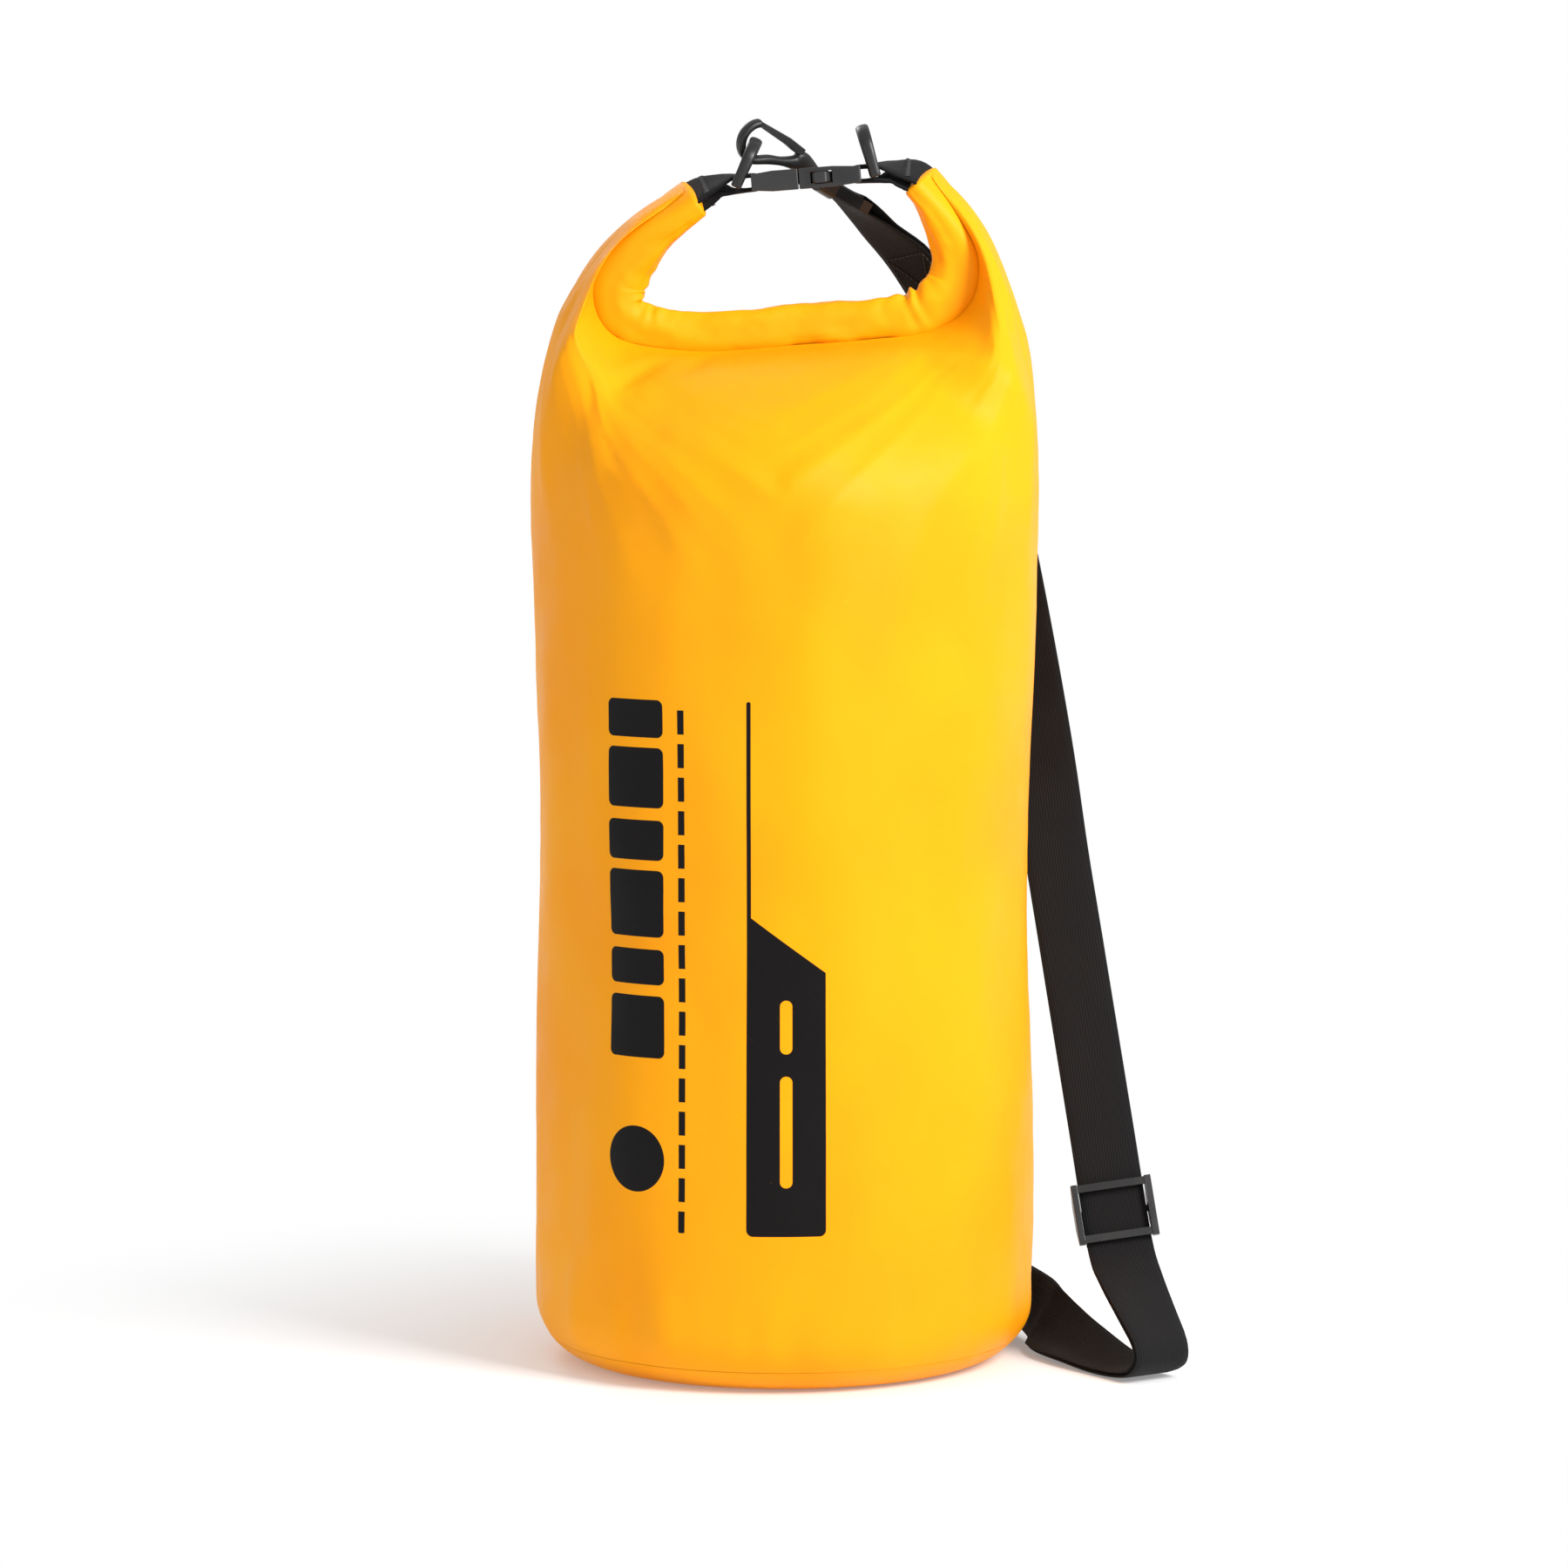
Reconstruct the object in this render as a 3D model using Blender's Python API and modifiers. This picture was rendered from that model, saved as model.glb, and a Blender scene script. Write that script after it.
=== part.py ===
"""Dry bag: a roll-top fabric tube on a round base, closed, with its side-release buckle
clipped into a carrying loop and a webbing shoulder strap hooked on one D-ring.

Metres, +Z up. The origin is the centre of the base on the ground, the front is -Y.
"""

from math import ceil, cos, pi, radians, sin

import bmesh
import bpy
from mathutils import Matrix, Vector

# Driving dimensions of the bag
BAG_RADIUS = 0.115
BASE_ROUND = 0.028          # radius of the rounded bottom edge
SEAM_ANGLE = radians(-62)   # where round the bottom edge the base is welded on
FABRIC = 0.0012
WAIST = 0.0022              # how far the tube pulls in at mid height
SHOULDER_Z = 0.395          # the tube starts to flatten here
FIT_GAP = 0.0004            # clearance between pieces that touch
TOP_CLEARANCE = 0.0030      # from the roll's surface to the tube's edge under it
SIDES = 48

# Centreline of the rolled mouth in the XZ plane, from the left tab to the right tab
ROLL_LINE = [
    (-0.0395, 0.5358), (-0.0490, 0.5290), (-0.0600, 0.5190), (-0.0710, 0.5060),
    (-0.0775, 0.4920), (-0.0710, 0.4780), (-0.0400, 0.4725), (0.0000, 0.4750),
    (0.0350, 0.4775), (0.0600, 0.4810), (0.0755, 0.4900), (0.0800, 0.5040),
    (0.0765, 0.5190), (0.0705, 0.5325), (0.0612, 0.5440),
]
ROLL_STEPS = 44
ROLL_HALF_MIDDLE = (0.0095, 0.0065)   # half sizes: in the XZ plane, along Y
ROLL_HALF_LEG = (0.0120, 0.0090)
ROLL_HALF_END = (0.0064, 0.0148)
CAVITY_HALF_MIDDLE = (0.0082, 0.0024)
CAVITY_HALF_LEG = (0.0098, 0.0068)
CAVITY_HALF_END = (0.0038, 0.0134)
STIFFENER_HALF_WIDTH = 0.0064

# The hardware between the ears, in a frame tilted about Y
HANDLE_CENTRE = Vector((0.010, 0.0, 0.5435))
HANDLE_TILT = radians(4.5)
TAB_HALF_WIDTH = 0.0125
TAB_THICK = 0.0015
TAB_PLY_STEP = 0.0018       # between the middles of the tab's two plies where they are sewn
TAB_SPREAD = 0.0033         # from the handle's line to each ply where they hold the bars
BUCKLE_HALF_LENGTH = 0.025
BUCKLE_HALF_WIDTH = 0.0165
BUCKLE_HALF_THICK = 0.0047
BUCKLE_END_HALF_THICK = 0.0037
BUCKLE_SPLIT = -0.0032      # the socket's mouth
BAR_CENTRE = 0.0230         # webbing bars, either side of the middle
RING_BAR = 0.0315           # D-ring bars, either side of the middle
ARM_HINGE = (-0.0030, 0.0100)
ARM_TRAVEL = 0.8            # how far a release pad stands out of its window, in mm

# D-rings
RING_INNER = 0.0128
RING_BAND = 0.0037
RING_TOP = 0.0190           # inner height of the arch above its bar
RING_THICK = 0.0048
RING_BAR_RADIUS = 0.0019
LEFT_RING_LEAN = radians(24)
RIGHT_RING_LEAN = radians(-16)

# Snap hook, from the middle of its webbing bar to the centre of its eye
HOOK_BAR = Vector((0.0290, 0.0415, 0.5355))
HOOK_EYE = Vector((-0.0120, 0.0050, 0.5603))
HOOK_HALF_THICK = 0.0027
NECK = 0.0190               # where the shank leaves the swivel's barrel
GATE_HINGE = (0.0372, 0.0062)
EYE_INNER = 0.0072
EYE_OUTER = 0.0106

# Shoulder strap
STRAP_HALF_WIDTH = 0.0150
STRAP_THICK = 0.0015
PLY_STEP = 0.0020           # distance between the middles of two plies that lie together
STRAIGHT_TOP = Vector((0.1265, 0.0330, 0.2350))
STRAIGHT_FOOT = Vector((0.1545, -0.0280, 0.0560))
STRAP_LOOP = 0.0038         # middle radius of the strap's loop round the anchor ring
HOOK_LOOP = 0.0031          # the same round the hook's bar
SLIDER_FROM_FOOT = 0.0150
SLIDER_HALF_HEIGHT = 0.0140
SLIDER_RAIL = 0.0030
SLIDER_BAR_DEPTH = 0.0049   # the centre bar lies this far behind the outer ply
SLIDER_LOOP = 0.0028

# Lower anchor on the back
ANCHOR_Z = 0.0400
ANCHOR_RING_RADIUS = 0.1212  # distance of the ring's bars from the bag's axis
STRAP_BAR_AZIMUTH = radians(55.2)
TAB_BAR_AZIMUTH = radians(63.8)
PATCH_AZIMUTH = (radians(67.5), radians(94.0))
ANCHOR_WIRE = 0.0019

COLOURS = {
    "yellow_fabric": ((0.95, 0.52, 0.02), 0.45, 0.0),
    "inner_coating": ((0.80, 0.78, 0.72), 0.5, 0.0),
    "stiffener_plastic": ((0.75, 0.75, 0.72), 0.5, 0.0),
    "black_webbing": ((0.012, 0.012, 0.013), 0.75, 0.0),
    "black_plastic": ((0.015, 0.015, 0.016), 0.38, 0.0),
}


def clear_scene():
    for obj in list(bpy.data.objects):
        bpy.data.objects.remove(obj, do_unlink=True)


def collection(name):
    found = bpy.data.collections.new(name)
    bpy.context.scene.collection.children.link(found)
    return found


clear_scene()
BAG = collection("dry_bag")
CUTTERS = collection("cutters")


# ---------------------------------------------------------------- helpers

def material(name, slot):
    colour, roughness, metallic = COLOURS[slot]
    made = bpy.data.materials.new(name)
    made.use_nodes = True
    shader = made.node_tree.nodes["Principled BSDF"]
    shader.inputs["Base Color"].default_value = (*colour, 1.0)
    shader.inputs["Roughness"].default_value = roughness
    shader.inputs["Metallic"].default_value = metallic
    return made


def add_object(name, data, slot=None, home=None):
    obj = bpy.data.objects.new(name, data)
    (home or BAG).objects.link(obj)
    if slot:
        data.materials.append(material(name, slot))
    return obj


def mesh_from(name, build):
    """A mesh filled by build(bm)."""
    bm = bmesh.new()
    build(bm)
    bmesh.ops.recalc_face_normals(bm, faces=bm.faces)
    mesh = bpy.data.meshes.new(name)
    bm.to_mesh(mesh)
    bm.free()
    return mesh


def smooth(obj, angle=35):
    obj.data.shade_smooth()
    obj.data.set_sharp_from_angle(angle=radians(angle))


def solidify(obj, thickness, offset=0.0):
    shell = obj.modifiers.new("thickness", "SOLIDIFY")
    shell.thickness = thickness
    shell.offset = offset
    shell.use_even_offset = True
    return shell


def bevel(obj, width, segments=2, angle=30):
    edge = obj.modifiers.new("edges", "BEVEL")
    edge.width = width
    edge.segments = segments
    edge.limit_method = "ANGLE"
    edge.angle_limit = radians(angle)
    edge.harden_normals = False
    return edge


def boolean(obj, other, operation="DIFFERENCE"):
    step = obj.modifiers.new(operation.lower(), "BOOLEAN")
    step.operation = operation
    step.solver = "EXACT"
    step.object = other
    other.hide_render = True
    other.display_type = "WIRE"
    return step


def box_mesh(name, size, centre=(0, 0, 0)):
    def build(bm):
        bmesh.ops.create_cube(bm, size=1.0)
        bmesh.ops.scale(bm, vec=size, verts=bm.verts)
        bmesh.ops.translate(bm, vec=centre, verts=bm.verts)
    return mesh_from(name, build)


def rod_mesh(name, radius, length, centre=(0, 0, 0), along="Y", segments=16):
    turn = Matrix.Rotation(pi / 2, 4, "X" if along == "Y" else "Y")
    if along == "Z":
        turn = Matrix.Identity(4)

    def build(bm):
        bmesh.ops.create_cone(
            bm, cap_ends=True, segments=segments, radius1=radius, radius2=radius, depth=length,
            matrix=Matrix.Translation(centre) @ turn,
        )
    return mesh_from(name, build)


def cutter(name, mesh, frame):
    obj = add_object(name, mesh, home=CUTTERS)
    obj.matrix_world = frame
    return obj


def outline_mesh(name, outlines, half_depth):
    """A flat outline with its holes, as a 2D curve with thickness, turned into a mesh."""
    curve = bpy.data.curves.new(name, "CURVE")
    curve.dimensions = "2D"
    curve.fill_mode = "BOTH"
    curve.extrude = half_depth
    for points in outlines:
        spline = curve.splines.new("POLY")
        spline.points.add(len(points) - 1)
        for point, (x, y) in zip(spline.points, points):
            point.co = (x, y, 0.0, 1.0)
        spline.use_cyclic_u = True
    return mesh_of_curve(name, curve)


def mesh_of_curve(name, curve):
    holder = add_object(name + "_curve", curve, home=CUTTERS)
    graph = bpy.context.evaluated_depsgraph_get()
    graph.update()
    mesh = bpy.data.meshes.new_from_object(holder.evaluated_get(graph))
    mesh.name = name
    bpy.data.objects.remove(holder, do_unlink=True)
    bm = bmesh.new()
    bm.from_mesh(mesh)
    bmesh.ops.remove_doubles(bm, verts=bm.verts, dist=0.00001)
    bmesh.ops.recalc_face_normals(bm, faces=bm.faces)
    bm.to_mesh(mesh)
    bm.free()
    return mesh


def arc(centre, radius, start, end, steps):
    """Points round a circle; the angles are in degrees."""
    angles = [radians(start + (end - start) * i / steps) for i in range(steps + 1)]
    return [(centre[0] + radius * cos(a), centre[1] + radius * sin(a)) for a in angles]


def smoothstep(t):
    t = min(1.0, max(0.0, t))
    return t * t * (3 - 2 * t)


def mix(a, b, t):
    return a + (b - a) * t


def catmull(points, step):
    """Samples about step apart on a smooth curve through the points."""
    ends = [2 * points[0] - points[1]] + list(points) + [2 * points[-1] - points[-2]]
    samples = []
    for p0, p1, p2, p3 in zip(ends, ends[1:], ends[2:], ends[3:]):
        pieces = max(1, ceil((p2 - p1).length / step))
        for i in range(pieces):
            t = i / pieces
            samples.append(0.5 * (
                2 * p1 + (p2 - p0) * t
                + (2 * p0 - 5 * p1 + 4 * p2 - p3) * t * t
                + (3 * p1 - 3 * p2 + p3 - p0) * t * t * t
            ))
    samples.append(points[-1].copy())
    return samples


def tangents(points):
    count = len(points)
    return [(points[min(i + 1, count - 1)] - points[max(i - 1, 0)]).normalized() for i in range(count)]


def ribbon(name, frames, half_width, thickness, slot):
    """A flat strip through frames of (centre, width direction), given its thickness."""
    bm = bmesh.new()
    rows = []
    for centre, across in frames:
        side = across.normalized() * half_width
        rows.append([bm.verts.new(centre - side), bm.verts.new(centre + side)])
    for a, b in zip(rows, rows[1:]):
        bm.faces.new((a[0], b[0], b[1], a[1]))
    mesh = bpy.data.meshes.new(name)
    bm.to_mesh(mesh)
    bm.free()
    obj = add_object(name, mesh, slot)
    solidify(obj, thickness)
    return obj


# ---------------------------------------------------------------- frames

HANDLE = bpy.data.objects.new("handle_frame", None)
BAG.objects.link(HANDLE)
HANDLE_MATRIX = Matrix.Translation(HANDLE_CENTRE) @ Matrix.Rotation(-HANDLE_TILT, 4, "Y")
HANDLE.matrix_world = HANDLE_MATRIX


def in_handle(obj, place=Matrix.Identity(4)):
    obj.parent = HANDLE
    obj.matrix_basis = place
    return obj


def axes_matrix(origin, x, y, z):
    made = Matrix((x, y, z)).transposed().to_4x4()
    made.translation = origin
    return made


# ---------------------------------------------------------------- bag

def bag_radius(z):
    """Radius of the round body above its bottom edge, with a slight waist."""
    share = min(1.0, max(0.0, (z - BASE_ROUND) / (SHOULDER_Z - BASE_ROUND)))
    return BAG_RADIUS - WAIST * sin(pi * share) ** 2


def bottom_edge(angle):
    """A point (r, z) on the rounded bottom edge; 0 is its widest, -90 degrees the ground."""
    flat = BAG_RADIUS - BASE_ROUND
    return flat + BASE_ROUND * cos(angle), BASE_ROUND + BASE_ROUND * sin(angle)


def roll_samples():
    """Centreline, outward direction and share of the length from the middle, along the roll."""
    line = catmull([Vector((x, 0, z)) for x, z in ROLL_LINE], 0.0015)
    lengths = [0.0]
    for a, b in zip(line, line[1:]):
        lengths.append(lengths[-1] + (b - a).length)
    total = lengths[-1]
    samples = []
    k = 0
    for i in range(ROLL_STEPS + 1):
        target = total * i / ROLL_STEPS
        while k < len(lengths) - 2 and lengths[k + 1] < target:
            k += 1
        t = (target - lengths[k]) / (lengths[k + 1] - lengths[k])
        samples.append(line[k].lerp(line[k + 1], t))
    ways = tangents(samples)
    outward = [Vector((w.z, 0, -w.x)) for w in ways]
    shares = [2 * i / ROLL_STEPS - 1 for i in range(ROLL_STEPS + 1)]
    return samples, outward, shares


ROLL_POINTS, ROLL_OUT, ROLL_SHARES = roll_samples()


def roll_at(share):
    """Centre and outward direction of the roll at share, from -1 to 1."""
    place = (share + 1) / 2 * ROLL_STEPS
    i = min(ROLL_STEPS - 1, int(place))
    t = place - i
    centre = ROLL_POINTS[i].lerp(ROLL_POINTS[i + 1], t)
    return centre, ROLL_OUT[i].lerp(ROLL_OUT[i + 1], t).normalized()


def roll_half(share, middle, leg, end):
    """Half sizes that go from the middle through the legs to the ends."""
    far = abs(share)
    if far < 0.62:
        t = smoothstep((far - 0.34) / 0.28)
        return mix(middle[0], leg[0], t), mix(middle[1], leg[1], t)
    t = smoothstep((far - 0.62) / 0.33)
    return mix(leg[0], end[0], t), mix(leg[1], end[1], t)


def make_body_shell():
    """The fabric tube: round below, drawn flat under the roll and up the outside of its ends."""
    bottom_rings = [bottom_edge(SEAM_ANGLE * (1 - i / 4)) for i in range(5)]
    heights = [BASE_ROUND + (SHOULDER_Z - BASE_ROUND) * i / 6 for i in range(1, 7)]
    levels = 9

    def top_point(turn):
        """The edge under the roll; turn runs from -180 to 180 degrees, 0 at the front."""
        front = abs(turn) <= 90
        way = 1 if turn >= 0 else -1
        share = turn / 90 if front else way * (180 - abs(turn)) / 90
        share = max(-1.0, min(1.0, share))
        centre, outward = roll_at(share)
        half = roll_half(share, ROLL_HALF_MIDDLE, ROLL_HALF_LEG, ROLL_HALF_END)
        depth = mix(0.0055, 0.0080, smoothstep(abs(share))) * (1 - abs(share) ** 6) ** 0.5
        y = -depth if front else depth
        return centre + outward * (half[0] + TOP_CLEARANCE) + Vector((0, y, 0))

    def build(bm):
        rings = []
        turns = [-180 + 360 * (i + 0.5) / SIDES for i in range(SIDES)]
        ways = [Vector((sin(radians(t)), -cos(radians(t)), 0)) for t in turns]
        for radius, z in bottom_rings + [(bag_radius(z), z) for z in heights]:
            rings.append([way * radius + Vector((0, 0, z)) for way in ways])
        for level in range(1, levels + 1):
            t = level / levels
            ring = []
            for turn, way in zip(turns, ways):
                foot = way * BAG_RADIUS + Vector((0, 0, SHOULDER_Z))
                top = top_point(turn)
                side = abs(sin(radians(turn))) ** 2
                rise = top.z - foot.z
                low = foot + Vector((0, 0, mix(0.55, 0.42, side) * rise))
                high = top + (foot - top) * mix(0.48, 0.90, side)
                high.z = top.z - mix(0.22, 0.20, side) * rise
                a, b, c, d = (1 - t) ** 3, 3 * t * (1 - t) ** 2, 3 * t * t * (1 - t), t ** 3
                ring.append(a * foot + b * low + c * high + d * top)
            rings.append(ring)
        rows = [[bm.verts.new(p) for p in ring] for ring in rings]
        for lower, upper in zip(rows, rows[1:]):
            for i in range(SIDES):
                j = (i + 1) % SIDES
                bm.faces.new((lower[i], lower[j], upper[j], upper[i]))

    shell = add_object("body_shell", mesh_from("body_shell", build), "yellow_fabric")
    solidify(shell, FABRIC, offset=-1.0).use_even_offset = False
    smooth(shell)


def make_base_panel():
    """The round bottom, dished up to the weld, as a turned profile."""
    edge = [bottom_edge(-pi / 2 + (SEAM_ANGLE + pi / 2) * i / 3) for i in range(4)]
    gap = 2 * FIT_GAP / BASE_ROUND
    edge[-1] = bottom_edge(SEAM_ANGLE - gap)

    points = list(reversed(edge)) + [(0.06, 0.0), (0.03, 0.0), (0.0, 0.0)]
    mesh = bpy.data.meshes.new("base_panel")
    bm = bmesh.new()
    verts = [bm.verts.new((r, 0, z)) for r, z in points]
    for a, b in zip(verts, verts[1:]):
        bm.edges.new((a, b))
    bm.to_mesh(mesh)
    bm.free()
    base = add_object("base_panel", mesh, "yellow_fabric")
    spin = base.modifiers.new("turned", "SCREW")
    spin.steps = SIDES
    spin.render_steps = SIDES
    base.rotation_euler.z = pi / SIDES    # its flats line up with the tube's
    spin.use_merge_vertices = True
    spin.merge_threshold = 0.0001
    solidify(base, FABRIC, offset=-1.0)
    smooth(base)


def make_seam_tape():
    """The tape that seals the vertical back seam from inside."""
    frames = []
    for i in range(9):
        z = 0.034 + 0.356 * i / 8
        frames.append((Vector((0, bag_radius(z) - FABRIC - FIT_GAP - 0.0007, z)), Vector((1, 0, 0))))
    ribbon("back_seam_tape", frames, 0.0090, 0.0005, "inner_coating")


def section(half, power=3.2, count=16):
    """Points round a rounded rectangle of the given half sizes."""
    points = []
    for i in range(count):
        a = 2 * pi * (i + 0.5) / count
        c, s = cos(a), sin(a)
        scale = (abs(c) ** power + abs(s) ** power) ** (-1 / power)
        points.append((half[0] * c * scale, half[1] * s * scale))
    return points


def make_rolled_top():
    """The mouth rolled down and bent up at its ends: a flat tube open at both ends."""
    def ring(bm, share, centre, outward, halves):
        half = roll_half(share, *halves)
        depth = Vector((0, 1, 0))
        return [bm.verts.new(centre + outward * u + depth * v) for u, v in section(half)]

    def build(bm):
        outer_halves = (ROLL_HALF_MIDDLE, ROLL_HALF_LEG, ROLL_HALF_END)
        inner_halves = (CAVITY_HALF_MIDDLE, CAVITY_HALF_LEG, CAVITY_HALF_END)
        rows = list(zip(ROLL_SHARES, ROLL_POINTS, ROLL_OUT))
        outer = [ring(bm, *row, outer_halves) for row in rows]
        inner = [ring(bm, *row, inner_halves) for row in rows]
        count = len(outer[0])
        for a, b in list(zip(outer, outer[1:])) + list(zip(inner, inner[1:])):
            for i in range(count):
                j = (i + 1) % count
                bm.faces.new((a[i], a[j], b[j], b[i]))
        for end in (0, -1):
            for i in range(count):
                j = (i + 1) % count
                bm.faces.new((outer[end][i], outer[end][j], inner[end][j], inner[end][i]))

    smooth(add_object("rolled_top", mesh_from("rolled_top", build), "yellow_fabric"), 50)


def make_stiffener():
    """The strip along the mouth's edge, at the core of the roll; it turns flat at the ends."""
    frames = []
    for share, centre, outward in zip(ROLL_SHARES, ROLL_POINTS, ROLL_OUT):
        if abs(share) > 0.86:
            continue
        turn = pi / 2 * smoothstep((abs(share) - 0.36) / 0.46)
        frames.append((centre, outward * cos(turn) + Vector((0, sin(turn), 0))))
    ribbon("mouth_stiffener", frames, STIFFENER_HALF_WIDTH, 0.0012, "stiffener_plastic")


# ---------------------------------------------------------------- closure hardware

def make_tab(name, way):
    """Webbing sewn into one end of the mouth: it holds a buckle bar and a D-ring bar."""
    to_handle = HANDLE_MATRIX.inverted()
    far, mouth = (to_handle @ roll_at(way * share)[0] for share in (0.945, 1.0))
    knee = Vector((way * 0.0430, 0, -0.0012))
    spine = catmull([far, mouth, knee, Vector((way * 0.0385, 0, 0))], 0.0030)
    plies = []
    for side in (-1, 1):
        ply = []
        for i, (point, tangent) in enumerate(zip(spine, tangents(spine))):
            up = Vector((-tangent.z, 0, tangent.x)) * -way
            ply.append(point + up * side * TAB_PLY_STEP / 2)
        ply = ply[:-1]
        for x, share in ((0.0388, 0.55), (0.0362, 0.92), (0.0335, 1.0), (0.0290, 1.0)):
            ply.append(Vector((way * x, 0, side * TAB_SPREAD * share)))
        plies.append(ply)
    loop = arc((BAR_CENTRE, 0.0), TAB_SPREAD, -90, -270, 10)
    path = plies[0] + [Vector((way * x, 0, z)) for x, z in loop] + plies[1][::-1]
    frames = [(point, Vector((0, 1, 0))) for point in path]
    in_handle(ribbon(name, frames, TAB_HALF_WIDTH, TAB_THICK, "black_webbing"))


def side_profile(end_thin, end_full):
    """Side view of a buckle half: full thickness in the middle, thin at the webbing bar."""
    thin, full = BUCKLE_END_HALF_THICK, BUCKLE_HALF_THICK
    knee = end_thin + (end_full - end_thin) * 0.45
    top = [(end_thin, thin), (knee, full), (end_full, full)]
    return top + [(x, -z) for x, z in reversed(top)]


def extrude_side(name, outline, half_width):
    """An outline in X and Z, extruded along Y."""
    mesh = outline_mesh(name, [outline], half_width)
    mesh.transform(Matrix.Rotation(pi / 2, 4, "X"))
    return mesh


def make_socket():
    """Female half: a hollow housing with side windows, and a frame round its webbing bar."""
    outline = side_profile(BUCKLE_HALF_LENGTH, BUCKLE_SPLIT)
    socket = add_object("buckle_socket", extrude_side("buckle_socket", outline, BUCKLE_HALF_WIDTH),
                        "black_plastic")
    in_handle(socket)
    bevel(socket, 0.0009)
    cuts = {
        "socket_cavity": box_mesh("socket_cavity", (0.0180, 0.0290, 0.0068), (0.0040, 0, 0)),
        "socket_windows": box_mesh("socket_windows", (0.0100, 0.0400, 0.0058), (0.0070, 0, 0)),
        "socket_slot": box_mesh("socket_slot", (0.0051, 0.0264, 0.0200), (0.01875, 0, 0)),
        "socket_bar_top": box_mesh("socket_bar_top", (0.0060, 0.0264, 0.0040), (0.0240, 0, 0.0034)),
        "socket_bar_low": box_mesh("socket_bar_low", (0.0060, 0.0264, 0.0040), (0.0240, 0, -0.0034)),
    }
    for name, mesh in cuts.items():
        boolean(socket, cutter(name, mesh, HANDLE_MATRIX))
    smooth(socket, 30)


def make_plug():
    """Male half without its arms: a frame round the webbing bar, a base and a centre guide."""
    outline = side_profile(-BUCKLE_HALF_LENGTH, BUCKLE_SPLIT - FIT_GAP)
    plug = add_object("buckle_plug", extrude_side("buckle_plug", outline, BUCKLE_HALF_WIDTH),
                      "black_plastic")
    in_handle(plug)
    bevel(plug, 0.0009)
    cuts = {
        "plug_slot": box_mesh("plug_slot", (0.0051, 0.0264, 0.0200), (-0.01875, 0, 0)),
        "plug_bar_top": box_mesh("plug_bar_top", (0.0060, 0.0264, 0.0040), (-0.0240, 0, 0.0034)),
        "plug_bar_low": box_mesh("plug_bar_low", (0.0060, 0.0264, 0.0040), (-0.0240, 0, -0.0034)),
    }
    for name, mesh in cuts.items():
        boolean(plug, cutter(name, mesh, HANDLE_MATRIX))
    guide = box_mesh("plug_guide", (0.0200, 0.0040, 0.0050), (0.0010, 0, 0))
    boolean(plug, cutter("plug_guide", guide, HANDLE_MATRIX), "UNION")
    smooth(plug, 30)


def make_arm(name, way):
    """One sprung arm of the plug; its pad stands out of the socket's side window."""
    hinge_x, hinge_y = ARM_HINGE
    pad = BUCKLE_HALF_WIDTH + ARM_TRAVEL / 1000
    points = [
        (-0.0024, 0.0082), (0.0040, 0.0098), (0.0100, 0.0104), (0.0120, 0.0118),
        (0.0122, 0.0132), (0.0112, 0.0150), (0.0090, pad), (0.0040, pad), (0.0026, pad - 0.0014),
        (0.0026, 0.0136), (-0.0024, 0.0114),
    ]
    local = [(x - hinge_x, way * (y - hinge_y)) for x, y in points]
    mesh = outline_mesh(name, [local if way > 0 else local[::-1]], 0.0024)
    arm = add_object(name, mesh, "black_plastic")
    in_handle(arm, Matrix.Translation((hinge_x, way * hinge_y, 0)))
    bevel(arm, 0.0004, segments=1)
    smooth(arm, 30)


def ring_outlines():
    """The D-ring's arch: across, and up from its bar; the foot runs past the bar."""
    outer = RING_INNER + RING_BAND
    top = RING_TOP + RING_BAND
    shoulder = 0.0075
    outside = [(outer, -0.0022), (outer, 0.0110)]
    outside += arc((shoulder, 0.0110), outer - shoulder, 0, 90, 7)[1:]
    rise = (top - 0.0110) / (outer - shoulder)
    outside = [(x, 0.0110 + (y - 0.0110) * rise if y > 0.0110 else y) for x, y in outside]
    inside = [(RING_INNER, -0.0022), (RING_INNER, 0.0105)]
    bend = arc((0.0045, 0.0105), RING_INNER - 0.0045, 0, 90, 7)[1:]
    lift = (RING_TOP - 0.0105) / (RING_INNER - 0.0045)
    inside += [(x, 0.0105 + (y - 0.0105) * lift) for x, y in bend]
    right = outside
    left = [(-x, y) for x, y in reversed(outside)]
    return right + left + [(-x, y) for x, y in inside] + inside[::-1]


def make_d_ring(name, way, lean):
    """A moulded D-ring that swings on its bar inside the webbing loop."""
    mesh = outline_mesh(name, [ring_outlines()], RING_THICK / 2)
    # Outline X runs across the webbing, outline Y stands up, thickness lies along the handle
    mesh.transform(Matrix(((0, 0, 1, 0), (1, 0, 0, 0), (0, 1, 0, 0), (0, 0, 0, 1))))
    ring = add_object(name, mesh, "black_plastic")
    place = Matrix.Translation((way * RING_BAR, 0, 0)) @ Matrix.Rotation(lean - -HANDLE_TILT, 4, "Y")
    in_handle(ring, place)
    bevel(ring, 0.0009)
    bar = rod_mesh(name + "_bar", RING_BAR_RADIUS, 2 * RING_INNER + 0.004, along="Y")
    boolean(ring, cutter(name + "_bar", bar, HANDLE_MATRIX @ place), "UNION")
    smooth(ring, 35)


# ---------------------------------------------------------------- snap hook

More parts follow.
